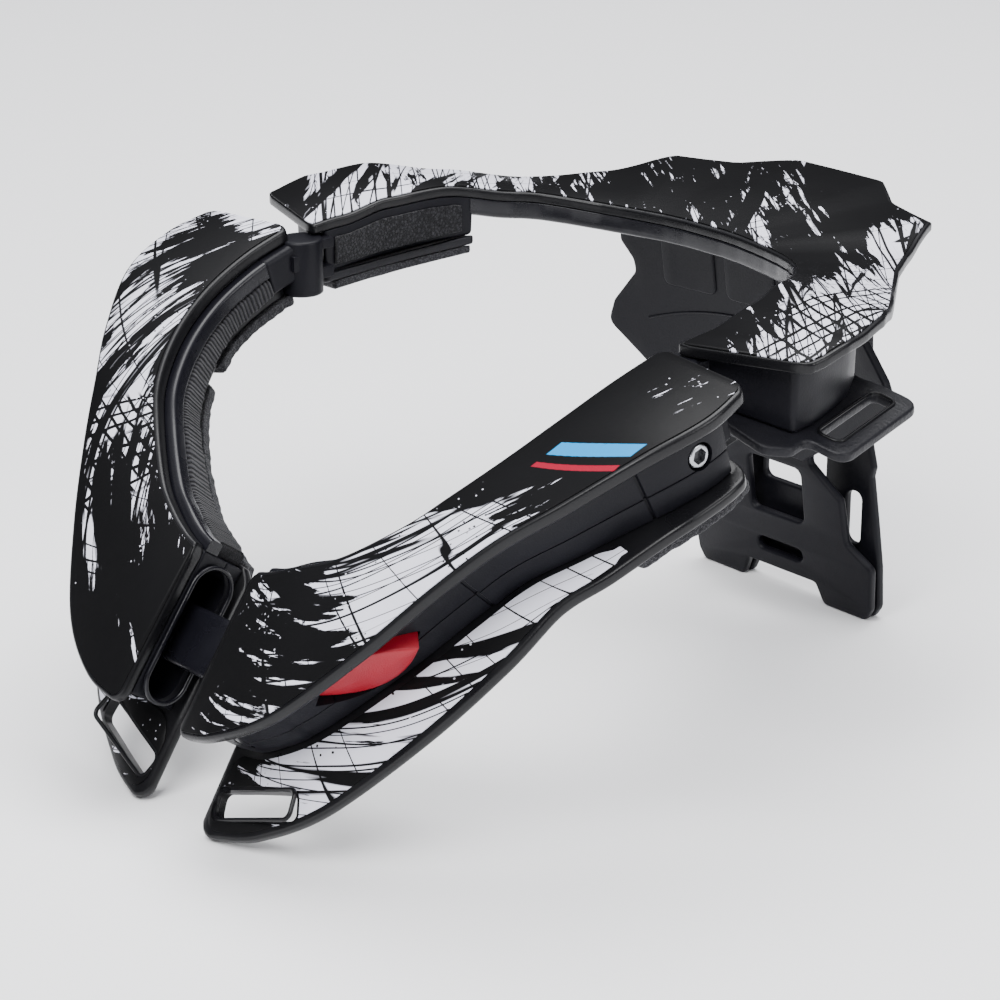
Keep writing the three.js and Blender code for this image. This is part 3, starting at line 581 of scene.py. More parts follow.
def printed(name, bands, seed, brush, lines, accent=(), hatch=()):
    """Printed film: brushed white areas on black, with scratch lines and ink specks.

    bands are (place along the piece, share of white) stops, and hatch the range that is
    crossed with fine lines."""
    n = Nodes(name)
    at = n.coords.outputs["UV"]
    split = n.add("ShaderNodeSeparateXYZ")
    n.link(at, split.inputs[0])
    u, v = split.outputs[0], split.outputs[1]
    bristle = n.noise(n.mapped(at, brush, (1.2, 14, 1), (seed, seed * 0.7, 0)), 2.4, 6, 0.62)
    blot = n.noise(n.mapped(at, 0, (1, 1, 1), (seed, 1, 0)), 2.6, 5, 0.6)
    along = n.span(n.plus(u, n.times(v, 0.35)), bands[0][0], bands[-1][0])
    length = bands[-1][0] - bands[0][0]
    level = n.ramp(along, [((p - bands[0][0]) / length, w) for p, w in bands])
    field = n.plus(level, n.times(n.minus(bristle, 0.5), 1.5))
    field = n.plus(field, n.times(n.minus(blot, 0.5), 0.9))
    bold = n.noise(n.mapped(at, brush + 9, (0.8, 6, 1), (seed, 5, 0)), 1.5, 3, 0.5)
    field = n.plus(field, n.times(n.minus(bold, 0.5), 1.3))
    white = n.span(field, 0.49, 0.515)
    swath = n.noise(n.mapped(at, lines + 16, (0.5, 4.5, 1), (seed * 2.1, 0.4, 0)), 1.5, 4, 0.6)
    white = n.times(white, n.span(swath, 0.44, 0.455))
    # Long thin scratches run with the brush, shorter ones across it.
    for extra, spacing, width in ((0, 26, 0.034), (7, 17, 0.020), (70, 6, 0.008)):
        turned = n.mapped(at, lines + extra, (0.35, spacing, 1), (seed * 1.3, 0.2, 0))
        streak = n.noise(turned, 1.0, 1, 0.4)
        near = n.math("ABSOLUTE", n.minus(streak, 0.5))
        white = n.times(white, n.span(near, width * 0.6, width))
    if hatch:
        for angle in (hatch[2], hatch[2] + 68):
            turned = n.add("ShaderNodeSeparateXYZ")
            n.link(n.mapped(at, angle, (1, 1, 1)), turned.inputs[0])
            wobble = n.times(n.noise(at, 5, 2), 0.05)
            row = n.math("FRACT", n.times(n.plus(turned.outputs[1], wobble), 21))
            gate = n.noise(n.mapped(at, angle, (0.6, 9, 1), (seed, 2, 0)), 2.0, 2)
            line = n.times(n.span(row, 0.24, 0.28, 1, 0), n.span(gate, 0.40, 0.44))
            inside = n.times(n.span(u, hatch[0], hatch[0] + 0.03),
                            n.span(u, hatch[1] - 0.03, hatch[1], 1, 0))
            white = n.times(white,
                           n.minus(1.0, n.times(line, inside)))
    dots = n.cells(n.mapped(at, 0, (1, 1, 1), (seed, 3, 0)), 42)
    gate = n.noise(n.mapped(at, 0, (1, 1, 1), (2, seed, 0)), 5, 3)
    specks = n.times(n.span(dots, 0.16, 0.20, 1, 0), n.span(gate, 0.56, 0.60))
    white = n.times(white, n.minus(1.0, specks))
    spray = n.times(n.span(dots, 0.12, 0.15, 1, 0), n.span(gate, 0.44, 0.40))
    white = n.math("MAXIMUM", white, n.times(spray, n.span(level, 0.22, 0.35)))
    tone = n.mix(n.span(blot, 0.35, 0.65), colour(0.68, 0.68, 0.77), WHITE)
    paint = n.mix(white, INK, tone)
    for at_u, at_v, half_u, half_v, shade in accent:
        du = n.math("ABSOLUTE", n.minus(n.plus(u, n.times(v, 0.5)), at_u))
        dv = n.math("ABSOLUTE", n.minus(v, at_v))
        bar = n.times(n.span(du, half_u - 0.003, half_u, 1, 0),
                     n.span(dv, half_v - 0.003, half_v, 1, 0))
        worn = n.span(bristle, 0.34, 0.37)
        paint = n.mix(n.times(bar, worn), paint, shade)
    n.link(paint, n.shader.inputs["Base Color"])
    n.link(n.span(blot, 0.3, 0.7, 0.30, 0.40), n.shader.inputs["Roughness"])
    n.bump(n.noise(n.coords.outputs["Object"], 350, 2), 0.00004)
    n.set(Specular_IOR_Level=0.08)
    return n.mat


shell = plastic("shell_plastic", colour(0.004, 0.004, 0.006), colour(0.008, 0.008, 0.011),
                0.42, 1400, 0.00006, 0.14)
grained = plastic("grained_plastic", colour(0.004, 0.004, 0.006), colour(0.009, 0.009, 0.012),
                  0.46, 800, 0.00022, 0.25)
deck_mat = plastic("deck_plastic", colour(0.004, 0.004, 0.005), colour(0.007, 0.007, 0.008),
                   0.30, 1200, 0.00004, 0.24)
glossy = plastic("arch_plastic", colour(0.004, 0.004, 0.006), colour(0.007, 0.007, 0.010),
                 0.26, 900, 0.00003, 0.32)
red_mat = plastic("button_plastic", colour(0.27, 0.004, 0.013), colour(0.34, 0.007, 0.020),
                  0.36, 2200, 0.00008, 0.35)
foam_mat = fabric("foam_fabric", colour(0.008, 0.008, 0.010), colour(0.060, 0.060, 0.068),
                  1300, 0.0005, 0.12)
def corduroy(name, dark, light, pitch):
    """Ribs across a strip whose UV runs along it in tenths of a metre."""
    n = Nodes(name)
    split = n.add("ShaderNodeSeparateXYZ")
    n.link(n.coords.outputs["UV"], split.inputs[0])
    at = n.coords.outputs["Object"]
    shake = n.times(n.noise(at, 300, 3), 0.006)
    turn = n.times(n.plus(split.outputs[0], shake), 2 * math.pi / pitch)
    rib = n.span(n.math("SINE", turn), -1, 1)
    fuzz = n.noise(at, 1600, 5, 0.7)
    both = n.plus(n.times(rib, 0.7), n.times(fuzz, 0.6))
    n.link(n.mix(n.span(both, 0.3, 1.1), dark, light), n.shader.inputs["Base Color"])
    n.bump(both, 0.0007)
    n.set(Roughness=0.95, Specular_IOR_Level=0.2, Sheen_Weight=0.1, Sheen_Roughness=0.5)
    return n.mat


ribbed = corduroy("ribbed_fabric", colour(0.003, 0.003, 0.004), colour(0.030, 0.030, 0.035), 0.021)
loop_mat = fabric("loop_fabric", colour(0.003, 0.003, 0.004), colour(0.030, 0.030, 0.035),
                  900, 0.0008, 0.10)


def metal():
    n = Nodes("steel")
    at = n.coords.outputs["Object"]
    n.link(n.span(n.noise(at, 700, 3), 0.3, 0.7, 0.22, 0.38), n.shader.inputs["Roughness"])
    n.bump(n.noise(at, 2500, 2), 0.00002)
    n.set(Base_Color=colour(0.42, 0.43, 0.45), Metallic=1.0)
    return n.mat


steel = metal()


# The front halves.

HINGE_X, HINGE_Y = 90, -16
BARREL, BARREL_GAP, CAP_WALL = 5.4, 0.5, 1.7
CAP_TOP, CAP_LID, CAP_BOTTOM, CUT_BOTTOM = -4.9, 0.5, -24.5, -30
EAR_TOP, EAR_HIGH, LOW_EAR_BOTTOM, KNUCKLE_HIGH, HINGE_GAP = -5.6, 3.4, -19.4, 5.6, 0.4
KNUCKLE_TOP = EAR_TOP - EAR_HIGH - HINGE_GAP
KNUCKLE_BOTTOM = KNUCKLE_TOP - KNUCKLE_HIGH
SLOT_LONG, SLOT_WIDE, SLOT_MARGIN = 33, 8.5, 3.3
BUTTON_DROP = SHELL_TOP - GAP - 8.5
BOLT_HIGH = PARTING + 3.8


def stadium(width, height):
    """A rounded slot's outline across the front end of a half, middle at its socket."""
    return round_rect(width, height, height / 2, 14)


END = front_frame(1)
SOCKET_HIGH = BODY_DEPTH - 9 + 3.5
SOCKET_LONG = END.width - 9 - 2
SOCKET_MID = END.place(END.width / 2 - 1, (SHELL_TOP + SHELL_BOTTOM) / 2 + 0.5)
END_RIGHT = Vector((0, END.across.y, END.across.z)).normalized()
END_UP = Vector((0, -END_RIGHT.z, END_RIGHT.y))
if END_UP.z < 0:
    END_UP = -END_UP
BUTTON = front_frame(0.685)
BOLT = front_frame(0.127)


def across_end(name, outline, x0, x1, bevel, mat, mirror=False, up_shift=0.0):
    origin = SOCKET_MID + END_UP * up_shift
    out = END_RIGHT.cross(END_UP)
    origin.x = min(x0, x1) if out.x > 0 else max(x0, x1)
    return prism(name, outline, abs(x1 - x0), origin, END_RIGHT, END_UP, bevel, mat, mirror)


def lens(length, height, steps=28):
    points = []
    for side in (-1, 1):
        for k in range(steps):
            f = k / steps
            a, c = (-length / 2, length / 2) if side < 0 else (length / 2, -length / 2)
            points.append((a * (1 - f) ** 2 + c * f * f, side * height * 2 * f * (1 - f)))
    return points


def slot_spot(f, drop=0.0):
    s = f.width + f.reach / 2
    return f.place(s, underside(f, s) - drop)


def chest_slot_frame():
    middle = END.origin.x + SLOT_MARGIN + SLOT_LONG / 2
    low, high = 0.5, 1.0
    for _ in range(30):
        t = (low + high) / 2
        if slot_spot(front_frame(t), 12).x > middle:
            low = t
        else:
            high = t
    return front_frame(low)


def slot_ring(f, width, height, h, steps=8):
    up = f.normal.cross(f.ahead)
    centre = slot_spot(f, 12) + f.normal * (12 + h)
    return [centre + f.ahead * x + up * y for x, y in round_rect(width, height, 2.5, steps)]


def turned_arc(radius, first, last, steps=40):
    """Points around the left pivot, angles in degrees."""
    angles = [math.radians(first + (last - first) * k / steps) for k in range(steps + 1)]
    return [(radius * math.cos(a), radius * math.sin(a)) for a in angles]


def hinge_cap(mirror):
    """A round cover over the pivot, open to the rear for the ears and their swing."""
    right, up = Vector((1, 0, 0)), Vector((0, 1, 0))
    inside = BARREL + BARREL_GAP
    foot = Vector((HINGE_X, HINGE_Y, CAP_BOTTOM))
    cap = prism("cap", turned_arc(inside + CAP_WALL, 0, 351), CAP_TOP - CAP_BOTTOM, foot, right, up,
                1.1, shell, mirror)
    low = Vector((HINGE_X, HINGE_Y, CUT_BOTTOM))
    room = CAP_TOP - CAP_LID - CUT_BOTTOM
    hollow = prism("cut_hollow", turned_arc(inside, 0, 351), room, low, right, up, 0, None, mirror)
    wedge = prism("cut_wedge", [(0, 0)] + turned_arc(13, 12, 142), room, low, right, up, 0, None,
                  mirror)
    carve(cap, [hollow, wedge])
    drop(hollow, wedge)
    return cap


def half(side):
    left = side == "left"
    mirror = not left
    body = side + "_front"

    def seal(piece, slot_name, *nodes):
        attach(piece, body)
        if nodes:
            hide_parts(*nodes)
        return piece

    deck = front_strip("deck_" + side, 0, 1, CORNER, 1.4,
                       lambda f: (0, f.width, flat(0), flat(-DECK)), deck_mat, mirror,
                       (1.5, 1.5, 1.3, 1.0), 170)
    seal(deck, "shell_plastic", "front_deck_" + side)

    if left:
        bands = [(0.0, 0.10), (0.16, 0.34), (0.34, 0.34), (0.46, 0.22), (0.80, 0.22), (0.98, 0.46),
                 (1.14, 0.92), (1.48, 0.86), (1.66, 0.42), (1.86, 0.30), (2.06, 0.40), (2.24, 0.14),
                 (2.5, 0.10)]
        accent = [(0.66, 0.24, 0.034, 0.130, CYAN), (0.745, 0.24, 0.014, 0.130, RED)]
        film_mat = printed("film_front_left", bands, 4.3, 14, 4, accent=accent)
    else:
        bands = [(0.0, 0.50), (0.10, 0.74), (0.20, 0.30), (0.40, 0.30), (0.56, 0.62), (0.90, 0.48),
                 (1.12, 0.74), (1.40, 0.56), (1.58, 0.80), (1.76, 0.46), (1.94, 0.18), (2.5, 0.06)]
        film_mat = printed("film_front_right", bands, 9.1, -24, -30,
                           hatch=(1.05, 1.5, 30))
    film = front_strip("film_" + side, 1.0 / FRONT_LENGTH, 1 - 1.0 / FRONT_LENGTH,
                       CORNER - FILM_INSET, 0.1,
                       lambda f: (FILM_INSET, f.width - FILM_INSET, flat(0.42), flat(0.06)),
                       film_mat, mirror, (0.15, 0.15, 0.05, 0.05), 170, steps=2)
    seal(film, "graphic_film", "front_graphic_" + side)

    # The shells with their grooves, the socket and the pockets.
    grooves = (0.233, 0.526)
    marks = [g + d for g in grooves for d in (-0.0035, -0.002, 0.002, 0.0035)]
    marks += [0.526 + 0.004, 0.80, 0.804]

    def wall(f):
        sunk = 0.0
        for g in grooves:
            if abs(f.t - g) <= 0.0021:
                sunk = 0.9
        if left and 0.5275 < f.t < 0.802:
            sunk = max(sunk, 0.5)
        return f.fold - sunk

    def parting(f, s):
        return PARTING + 0.6 * f.rise * (1 - s / f.fold)

    upper = front_strip("upper_" + side, SHELL_START, 1, 1, 1.0, lambda f: (
        SHELL_INSET, wall(f), flat(SHELL_TOP), lambda s: parting(f, s) + GAP / 2),
        shell, mirror, (0.5, 0.6, 0.35, 0.3), 150, marks)
    lower = front_strip("lower_" + side, SHELL_START, 1, 1, 1.0, lambda f: (
        SHELL_INSET, wall(f), lambda s: parting(f, s) - GAP / 2, lambda s: underside(f, s)),
        shell, mirror, (0.3, 0.35, 0.6, 0.5), 150, marks)
    socket = across_end("cut_socket", stadium(SOCKET_LONG, SOCKET_HIGH), END.origin.x - 6,
                        END.origin.x + 16, 0, None, mirror)
    bolt_up = BOLT.normal
    bolt_right = BOLT.normal.cross(BOLT.across)
    circle = [(math.cos(2 * math.pi * k / 40), math.sin(2 * math.pi * k / 40)) for k in range(40)]
    pocket = prism("cut_bolt", [(x * 4.5, y * 4.5) for x, y in circle], 12,
                   BOLT.place(BOLT.fold - 7.3, BOLT_HIGH), bolt_right, bolt_up, 0, None, mirror)
    cutters = [socket, pocket]
    if left:
        cutters.append(prism("cut_button", lens(39.6, 18), 24,
                             BUTTON.place(BUTTON.fold - 12, BUTTON_DROP),
                             BUTTON.normal.cross(BUTTON.across), BUTTON.normal, 0, None))
    carve(upper, cutters)
    carve(lower, cutters)
    drop(*cutters)
    seal(upper, "shell_plastic", "upper_shell_" + side)
    seal(lower, "shell_plastic", "lower_shell_" + side)

    rim = [END_RIGHT * x + END_UP * y + Vector((END.origin.x + 0.4, SOCKET_MID.y, SOCKET_MID.z))
           for x, y in stadium(SOCKET_LONG + 1.6, SOCKET_HIGH + 1.6)]
    seal(tube("socket_rim_" + side, rim, 0.8, glossy, mirror, True, 10, Vector((1, 0, 0))),
         "shell_plastic")

    # The chest plate with its slot, its raised rim and its film.
    slot_frame = chest_slot_frame()
    up = slot_frame.normal.cross(slot_frame.ahead)
    origin = slot_spot(slot_frame, 12)

    def slot_tool(name, width, height, radius):
        return prism(name, round_rect(width, height, radius), 20, origin, slot_frame.ahead, up, 0,
                     None, mirror)

    chest = front_strip("chest_" + side, FLANGE_START, FLANGE_END, 8, 1.4, lambda f: (
        0, f.width + f.reach, lambda s: underside(f, s) - GAP,
        lambda s: underside(f, s) - GAP - PLATE), deck_mat, mirror, (1.2, 1.5, 1.5, 1.2), 160,
        folded=True)
    tool = slot_tool("cut_slot", SLOT_LONG, SLOT_WIDE, 2.5)
    carve(chest, [tool])
    seal(chest, "shell_plastic", "chest_plate_" + side)
    if left:
        bands = [(0.6, 0.30), (0.72, 0.8), (1.0, 1.0), (1.2, 0.86), (1.5, 0.95), (1.9, 0.80),
                 (2.12, 0.66), (2.3, 0.30)]
        chest_mat = printed("film_chest_left", bands, 6.7, 8, 3)
    else:
        bands = [(0.6, 0.4), (1.2, 0.9), (1.9, 0.5), (2.3, 0.4)]
        chest_mat = printed("film_chest_right", bands, 2.9, 16, 12)
    graphic = front_strip("chest_film_" + side, SHOULDER_END, 1 + 2.6 / FRONT_LENGTH, 8, 0.1,
                          lambda f: (f.fold + 2, f.width + f.reach - 2.2,
                                     lambda s: underside(f, s) + 0.1,
                                     lambda s: underside(f, s) - 0.22),
                          chest_mat, mirror, (0.1, 0.1, 0.05, 0.05), 130, steps=2)
    wide = slot_tool("cut_slot_film", SLOT_LONG + 2.4, SLOT_WIDE + 2.4, 3.6)
    carve(graphic, [wide])
    drop(tool, wide)
    seal(graphic, "graphic_film", "chest_graphic_" + side)
    ring = slot_ring(slot_frame, SLOT_LONG + 1.2, SLOT_WIDE + 1.2, -0.15)
    seal(tube("slot_rim_" + side, ring, 0.75, deck_mat, mirror, True, 8, slot_frame.normal),
         "shell_plastic")

    # Foam under the plate, the smooth band and the loop pad on the neck side.
    def under(f, drop_by):
        return lambda s: underside(f, s) - drop_by

    for part, t0, t1, plan, count, seed, reach in (
            ("shoulder", FLANGE_START, SHOULDER_END, 3, 120, 0, lambda f: f.width + f.reach - 2),
            ("chest", CHEST_START, PAD_END, 5, 160, 7, lambda f: f.fold - 1)):
        foam = front_strip("foam_%s_%s" % (part, side), t0, t1, plan, 1.2,
                           lambda f: (-1, reach(f), under(f, PLATE + 0.5),
                                      under(f, PLATE + FOAM + 0.5)), foam_mat, mirror,
                           (0.5, 0.8, 1.6, 1.2), count, steps=5)
        roughen(foam, 0.5, 400, seed)
        seal(foam, "foam", "%s_foam_%s" % (part, side))
    inside = BARREL + BARREL_GAP
    swing = prism("cut_hinge", [(x * inside, y * inside) for x, y in circle], 40,
                  Vector((HINGE_X, HINGE_Y, 5)), Vector((1, 0, 0)), Vector((0, -1, 0)), 0, None,
                  mirror)
    cheek = front_strip("cheek", -0.005, SHELL_START + 0.03, 1.5, 1.0,
                        lambda f: (-3.2, f.fold - 9, flat(SHELL_TOP - 0.1),
                                   lambda s: underside(f, s) + 0.1),
                        shell, mirror, (2.6, 0.5, 0.5, 1.2), 24, steps=6)
    carve(cheek, [swing])
    drop(swing)
    seal(merged("hinge_cheek_" + side, [cheek, hinge_cap(mirror)], shell), "shell_plastic")
    band = front_strip("neck_band_" + side, SHELL_START + 0.028, 1, 0.5, 0.3,
                       lambda f: (-3.4, 0.8, flat(SHELL_TOP - 0.1), flat(SHELL_TOP - 6.2)),
                       glossy, mirror, (3.6, 0.2, 0.2, 1.2), 150, steps=6)
    seal(band, "shell_plastic")
    pad = front_strip("loop_" + side, PAD_START, PAD_END, 1.5, 1.5,
                      lambda f: (-3.8, 0.7, flat(SHELL_TOP - 6.4), lambda s: underside(f, 0)),
                      ribbed, mirror, (1.6, 0.3, 0.3, 1.6), 260, steps=6)
    roughen(pad, 0.5, 500, 3)
    seal(pad, "loop_fabric", "neck_pad_" + side)

    # The bolt with its hexagon socket, and a black hexagon set into the socket as painted shade.
    bolt_at = BOLT.place(BOLT.fold - 7, BOLT_HIGH)
    body_mesh = prism("bolt_" + side, [(x * 3.75, y * 3.75) for x, y in circle], 6.7, bolt_at,
                      bolt_right, bolt_up, 0.7, steel, mirror)
    hexagon = [(2.6 * math.cos(math.pi * k / 3), 2.6 * math.sin(math.pi * k / 3)) for k in range(6)]
    key = prism("cut_hex", hexagon, 8, BOLT.place(BOLT.fold - 4, BOLT_HIGH), bolt_right, bolt_up, 0,
                None, mirror)
    carve(body_mesh, [key])
    drop(key)
    seal(body_mesh, "steel", "side_bolt_" + side)
    # A black plastic hexagon fills most of the steel bolt's hex socket: painted shade for the
    # recess, not a part of the bolt.
    shade_insert_at = BOLT.place(BOLT.fold - 4.2, BOLT_HIGH)
    seal(prism("bolt_socket_painted_shade_" + side, [(x * 1.04, y * 1.04) for x, y in hexagon], 2.4, shade_insert_at,
               bolt_right, bolt_up, 0, glossy, mirror), "shell_plastic")


def catch():
    long_, high = SOCKET_LONG - 0.6, SOCKET_HIGH - 0.6
    x_end = END.origin.x + 16 - GAP
    x_start = END.origin.x + 4
    root = across_end("root", stadium(long_, high), x_start, x_end, 0.8, shell)
    low = -(SOCKET_HIGH - 8) / 2 + 1
    blade = across_end("blade", round_rect(20, 8, 2), -END.origin.x - 6.5, x_start + 1, 0.8, shell,
                       up_shift=low)
    tongue = merged("catch", [root, blade], glossy)
    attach(tongue, "left_front")
    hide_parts("catch_tongue")

    # The button: a domed lens with a skirt.
    right, up, out = BUTTON.normal.cross(BUTTON.across), BUTTON.normal, BUTTON.across
    outline = lens(37.6, 16.6, 36)
    verts, faces = [], []
    levels = [(1.0, -8.0), (1.0, -0.2), (0.985, 0.35), (0.95, 0.62)]
    levels += [(1 - 0.12 * k, 0.62 + 0.78 * (1 - (1 - 0.13 * k) ** 2)) for k in range(1, 8)]
    centre = BUTTON.place(BUTTON.fold, BUTTON_DROP)
    count = len(outline)
    for scale, height in levels:
        for x, y in outline:
            verts.append(centre + right * x * scale + up * y * scale + out * height)
    for i in range(len(levels) - 1):
        for k in range(count):
            a, b = i * count + k, i * count + (k + 1) % count
            faces.append((a, b, b + count, a + count))
    verts.append(centre + out * 1.4)
    top = (len(levels) - 1) * count
    faces += [(top + k, top + (k + 1) % count, len(verts) - 1) for k in range(count)]
    faces.append(tuple(count - 1 - k for k in range(count)))
    button = make("red_button", verts, faces, red_mat, smooth=50)
    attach(button, "button")
    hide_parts("release_button")


half("left")
half("right")
catch()


# The rear deck, its film and the wall behind the neck.

def rear_strip(name, inset, edge, top, bottom, radii, mat, count, steps=4):
    length = (REAR_REACH + SHOULDER / 2) * 2
    start = inset * 0.6 / length
    radius = CORNER - inset * 0.9
    frames = [rear_frame(t) for t in stations(start, 1 - start, length, radius, count)]

    def section(f):
        d = min(f.t - start, 1 - start - f.t) * length
        pull, thin = draw_in(d, radius), min(draw_in(d, edge), (top - bottom) * 0.4)
        a, b = inset + pull, f.width - inset - pull
        return [(p.x, p.y) for p in fillet(
            [(a, top - thin), (b, top - thin), (b, bottom + thin), (a, bottom + thin)],
            [min(r, (top - bottom) / 2 - thin + 0.01) for r in radii], steps)]

    def uv(f, s, h):
        p = f.place(s, h)
        return (p.x / 100, p.y / 100)

    return loft(name, frames, section, mat, False, uv)


def on_rear(piece, slot_name, *nodes):
    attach(piece, "rear")
    if nodes:
        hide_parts(*nodes)
    return piece


on_rear(rear_strip("deck_rear", 0, 1.2, 0, -REAR_DECK, (1.2, 1.2, 0.9, 0.9), deck_mat, 260),
        "shell_plastic", "rear_deck")
rear_bands = [(-1.4, 0.86), (-0.95, 0.74), (-0.62, 0.62), (-0.30, 0.30), (0.05, 0.26), (0.34, 0.52),
              (0.62, 0.24), (0.86, 0.16), (1.06, 0.62), (1.3, 0.94), (1.6, 0.8)]
rear_film = printed("film_rear", rear_bands, 3.3, 32, 38, hatch=(0.92, 1.34, 20))
on_rear(rear_strip("film_rear", FILM_INSET, 0.1, 0.42, 0.06, (0.15, 0.15, 0.05, 0.05), rear_film,
                   260, 2), "graphic_film", "rear_graphic")


def on_edge(which, inset, y):
    low, high = 0.0, 0.5
    for _ in range(30):
        f = rear_frame((low + high) / 2)
        reach = f.origin.y if which == "inner" else f.place(f.width, 0).y
        if reach < y:
            low = f.t
        else:
            high = f.t
    f = rear_frame(low)
    p = f.place(inset if which == "inner" else f.width - inset, 0)
    return (p.x, p.y)


def rear_edge(which, inset, y0, y1, steps=14):
    return [on_edge(which, inset, y0 + (y1 - y0) * k / steps) for k in range(steps + 1)]


def box_rise(x, y):
    return BOX_RISE * (SHOULDER / 2 - BOX_CORNER - x) + BOX_RISE_REAR * (y - BOX_CORNER / 2)


def rising(z):
    return lambda x, y: z + box_rise(x, y)


def under_deck(drop_by):
    """Heights under the left arm of the rear deck."""
    def height(x, y):
        low, high = 0.0, 0.5
        for _ in range(24):
            f = rear_frame((low + high) / 2)
            if f.across.x * (y - f.origin.y) - f.across.y * (x - f.origin.x) > 0:
                low = f.t
            else:
                high = f.t
        s = math.hypot(x - f.origin.x, y - f.origin.y)
        return f.place(s, -REAR_DECK - drop_by).z
    return height


def stacked(name, outline, levels, mat, mirror=False):
    """A solid from rings over each other. A level is (height at x and y, drop, inset)."""
    points = [Vector((x, y, 0)) for x, y in outline]
    area = sum(a.x * b.y - b.x * a.y for a, b in zip(points, points[1:] + points[:1]))
    normals = []
    for i, p in enumerate(points):
        along = (points[(i + 1) % len(points)] - points[i - 1]).normalized()
        n = Vector((along.y, -along.x, 0))
        normals.append(n if area > 0 else -n)
    verts = []
    count = len(points)
    for height, fall, inset in levels:
        for p, n in zip(points, normals):
            q = p - n * inset
            q.z = height(p.x, p.y) - fall
            verts.append(q)
    return make(name, verts, ring_faces(len(levels), count), mat, None, mirror, 40)


def rounded_levels(top, bottom, r_top, r_bottom, draft=0.0):
    turns = [math.pi / 2 * k / 4 for k in range(5)]
    levels = [(top, r_top * (1 - math.sin(a)), r_top * (1 - math.cos(a))) for a in turns[::-1]]
    levels += [(bottom, -r_bottom * (1 - math.sin(a)), draft + r_bottom * (1 - math.cos(a)))
               for a in turns]
    return levels


def box_outline(inset, front, rear, radius, inner_inset=None):
    inner_inset = SHELL_INSET + inset if inner_inset is None else inner_inset
    inner = rear_edge("inner", inner_inset, front, rear, 10)
    outer = rear_edge("outer", BOX_INSET + inset, front + BOX_CORNER, rear + 2, 10)
    corners = inner + outer[::-1]
    radii = [0] * len(corners)
    for k in (0, len(inner) - 1, len(inner), len(corners) - 1):
        radii[k] = radius
    return [(p.x, p.y) for p in fillet(corners, radii, 6)]


def hinge_leaf(name, reach, z0, z1, mat, mirror):
    toward = math.copysign(1, reach)
    points = []
    for k in range(17):
        a = math.pi * (1 + k / 16) if toward > 0 else math.pi * k / 16
        points.append((HINGE_X + BARREL * math.cos(a), HINGE_Y + BARREL * math.sin(a)))
    points += [(HINGE_X + BARREL * toward, HINGE_Y + reach),
               (HINGE_X - BARREL * toward, HINGE_Y + reach)]
    return prism(name, points, z0 - z1, Vector((0, 0, z1)), Vector((1, 0, 0)), Vector((0, 1, 0)),
                 0.3, mat, mirror)


TAB_X, TAB_Y, TAB_TURN = SHOULDER / 2 - 10.2, 31.5, math.radians(11.5)


def tab_point(x, y):
    c, s = math.cos(TAB_TURN), math.sin(TAB_TURN)
    return (TAB_X + c * x - s * y, TAB_Y + s * x + c * y)


BASE_TOP = SHELL_BOTTOM - GAP
for side in ("left", "right"):
    mirror = side == "right"
    outline = box_outline(0, BOX_FRONT, BOX_REAR, 4.5, 0.1)
    box = stacked("box", outline,
                  rounded_levels(under_deck(0.12), rising(SHELL_BOTTOM), 0.3, 1.4, 0.5),
                  shell, mirror)
    ears = [hinge_leaf("ear_top", 10, EAR_TOP, EAR_TOP - EAR_HIGH, shell, mirror),
            hinge_leaf("ear_low", 10, KNUCKLE_BOTTOM - HINGE_GAP, LOW_EAR_BOTTOM, shell, mirror)]
    on_rear(merged("box_" + side, [box] + ears, shell), "shell_plastic", "arm_box_" + side)
    knuckle = hinge_leaf("knuckle_" + side, -7.5, KNUCKLE_TOP, KNUCKLE_BOTTOM, shell, mirror)
    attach(knuckle, side + "_front")

    inner = rear_edge("inner", 0, BOX_FRONT + 1, BOX_REAR, 10)[::-1]
    corners = inner + [(SHOULDER / 2 - 13.5, BOX_FRONT + 1), (SHOULDER / 2 - 8, BOX_FRONT + 8),
                       tab_point(-4, -22.6), tab_point(9.5, -23), tab_point(9.5, 23),
                       tab_point(-5, 23), (on_edge("outer", 8, BOX_REAR)[0] - 4, BOX_REAR + 0.5)]
    radii = [4] + [0] * (len(inner) - 2) + [4, 6, 5, 3, 6, 6, 6, 4]
    outline = [(p.x, p.y) for p in fillet(corners, radii, 6)]
    hole = [tab_point(x, y) for x, y in round_rect(7, 33, 2)]
    thick = BASE

    def tilt(p):
        return Vector((p.x, p.y, BASE_TOP - thick / 2 + p.z + box_rise(p.x, p.y)))

    on_rear(plate("base_" + side, outline, [hole], thick, 0.9, grained, tilt, mirror),
            "shell_plastic", "base_plate_" + side)
    rim = [tilt(Vector((*tab_point(x, y), thick / 2 + 0.05)))
           for x, y in round_rect(8.6, 34.6, 2.8)]
    on_rear(tube("tab_rim_" + side, rim, 0.6, deck_mat, mirror, True, 8), "shell_plastic")
    foam_top = BASE_TOP - BASE - GAP
    pad = stacked("foam_base_" + side, box_outline(1, BOX_FRONT + 4, BOX_REAR - 1, 3, 0.2),
                  rounded_levels(rising(foam_top), rising(foam_top - BASE_FOAM), 0.4, 1.2),
                  foam_mat, mirror)
    roughen(pad, 0.4, 400, 5)
    on_rear(pad, "foam", "base_foam_" + side)

    face = SHELL_INSET - GAP
    inner = rear_edge("inner", face, BOX_FRONT + 5, BOX_REAR - 5, 24)
    proud = rear_edge("inner", face - 1.5, BOX_FRONT + 5, BOX_REAR - 5, 24)
    patch = stacked("patch_" + side, inner + proud[::-1],
                    rounded_levels(under_deck(3.0), rising(SHELL_BOTTOM + 2.2), 0.3, 0.3),
                    loop_mat, mirror)
    roughen(patch, 0.3, 500, 2)
    on_rear(patch, "loop_fabric", "rear_pad_" + side)

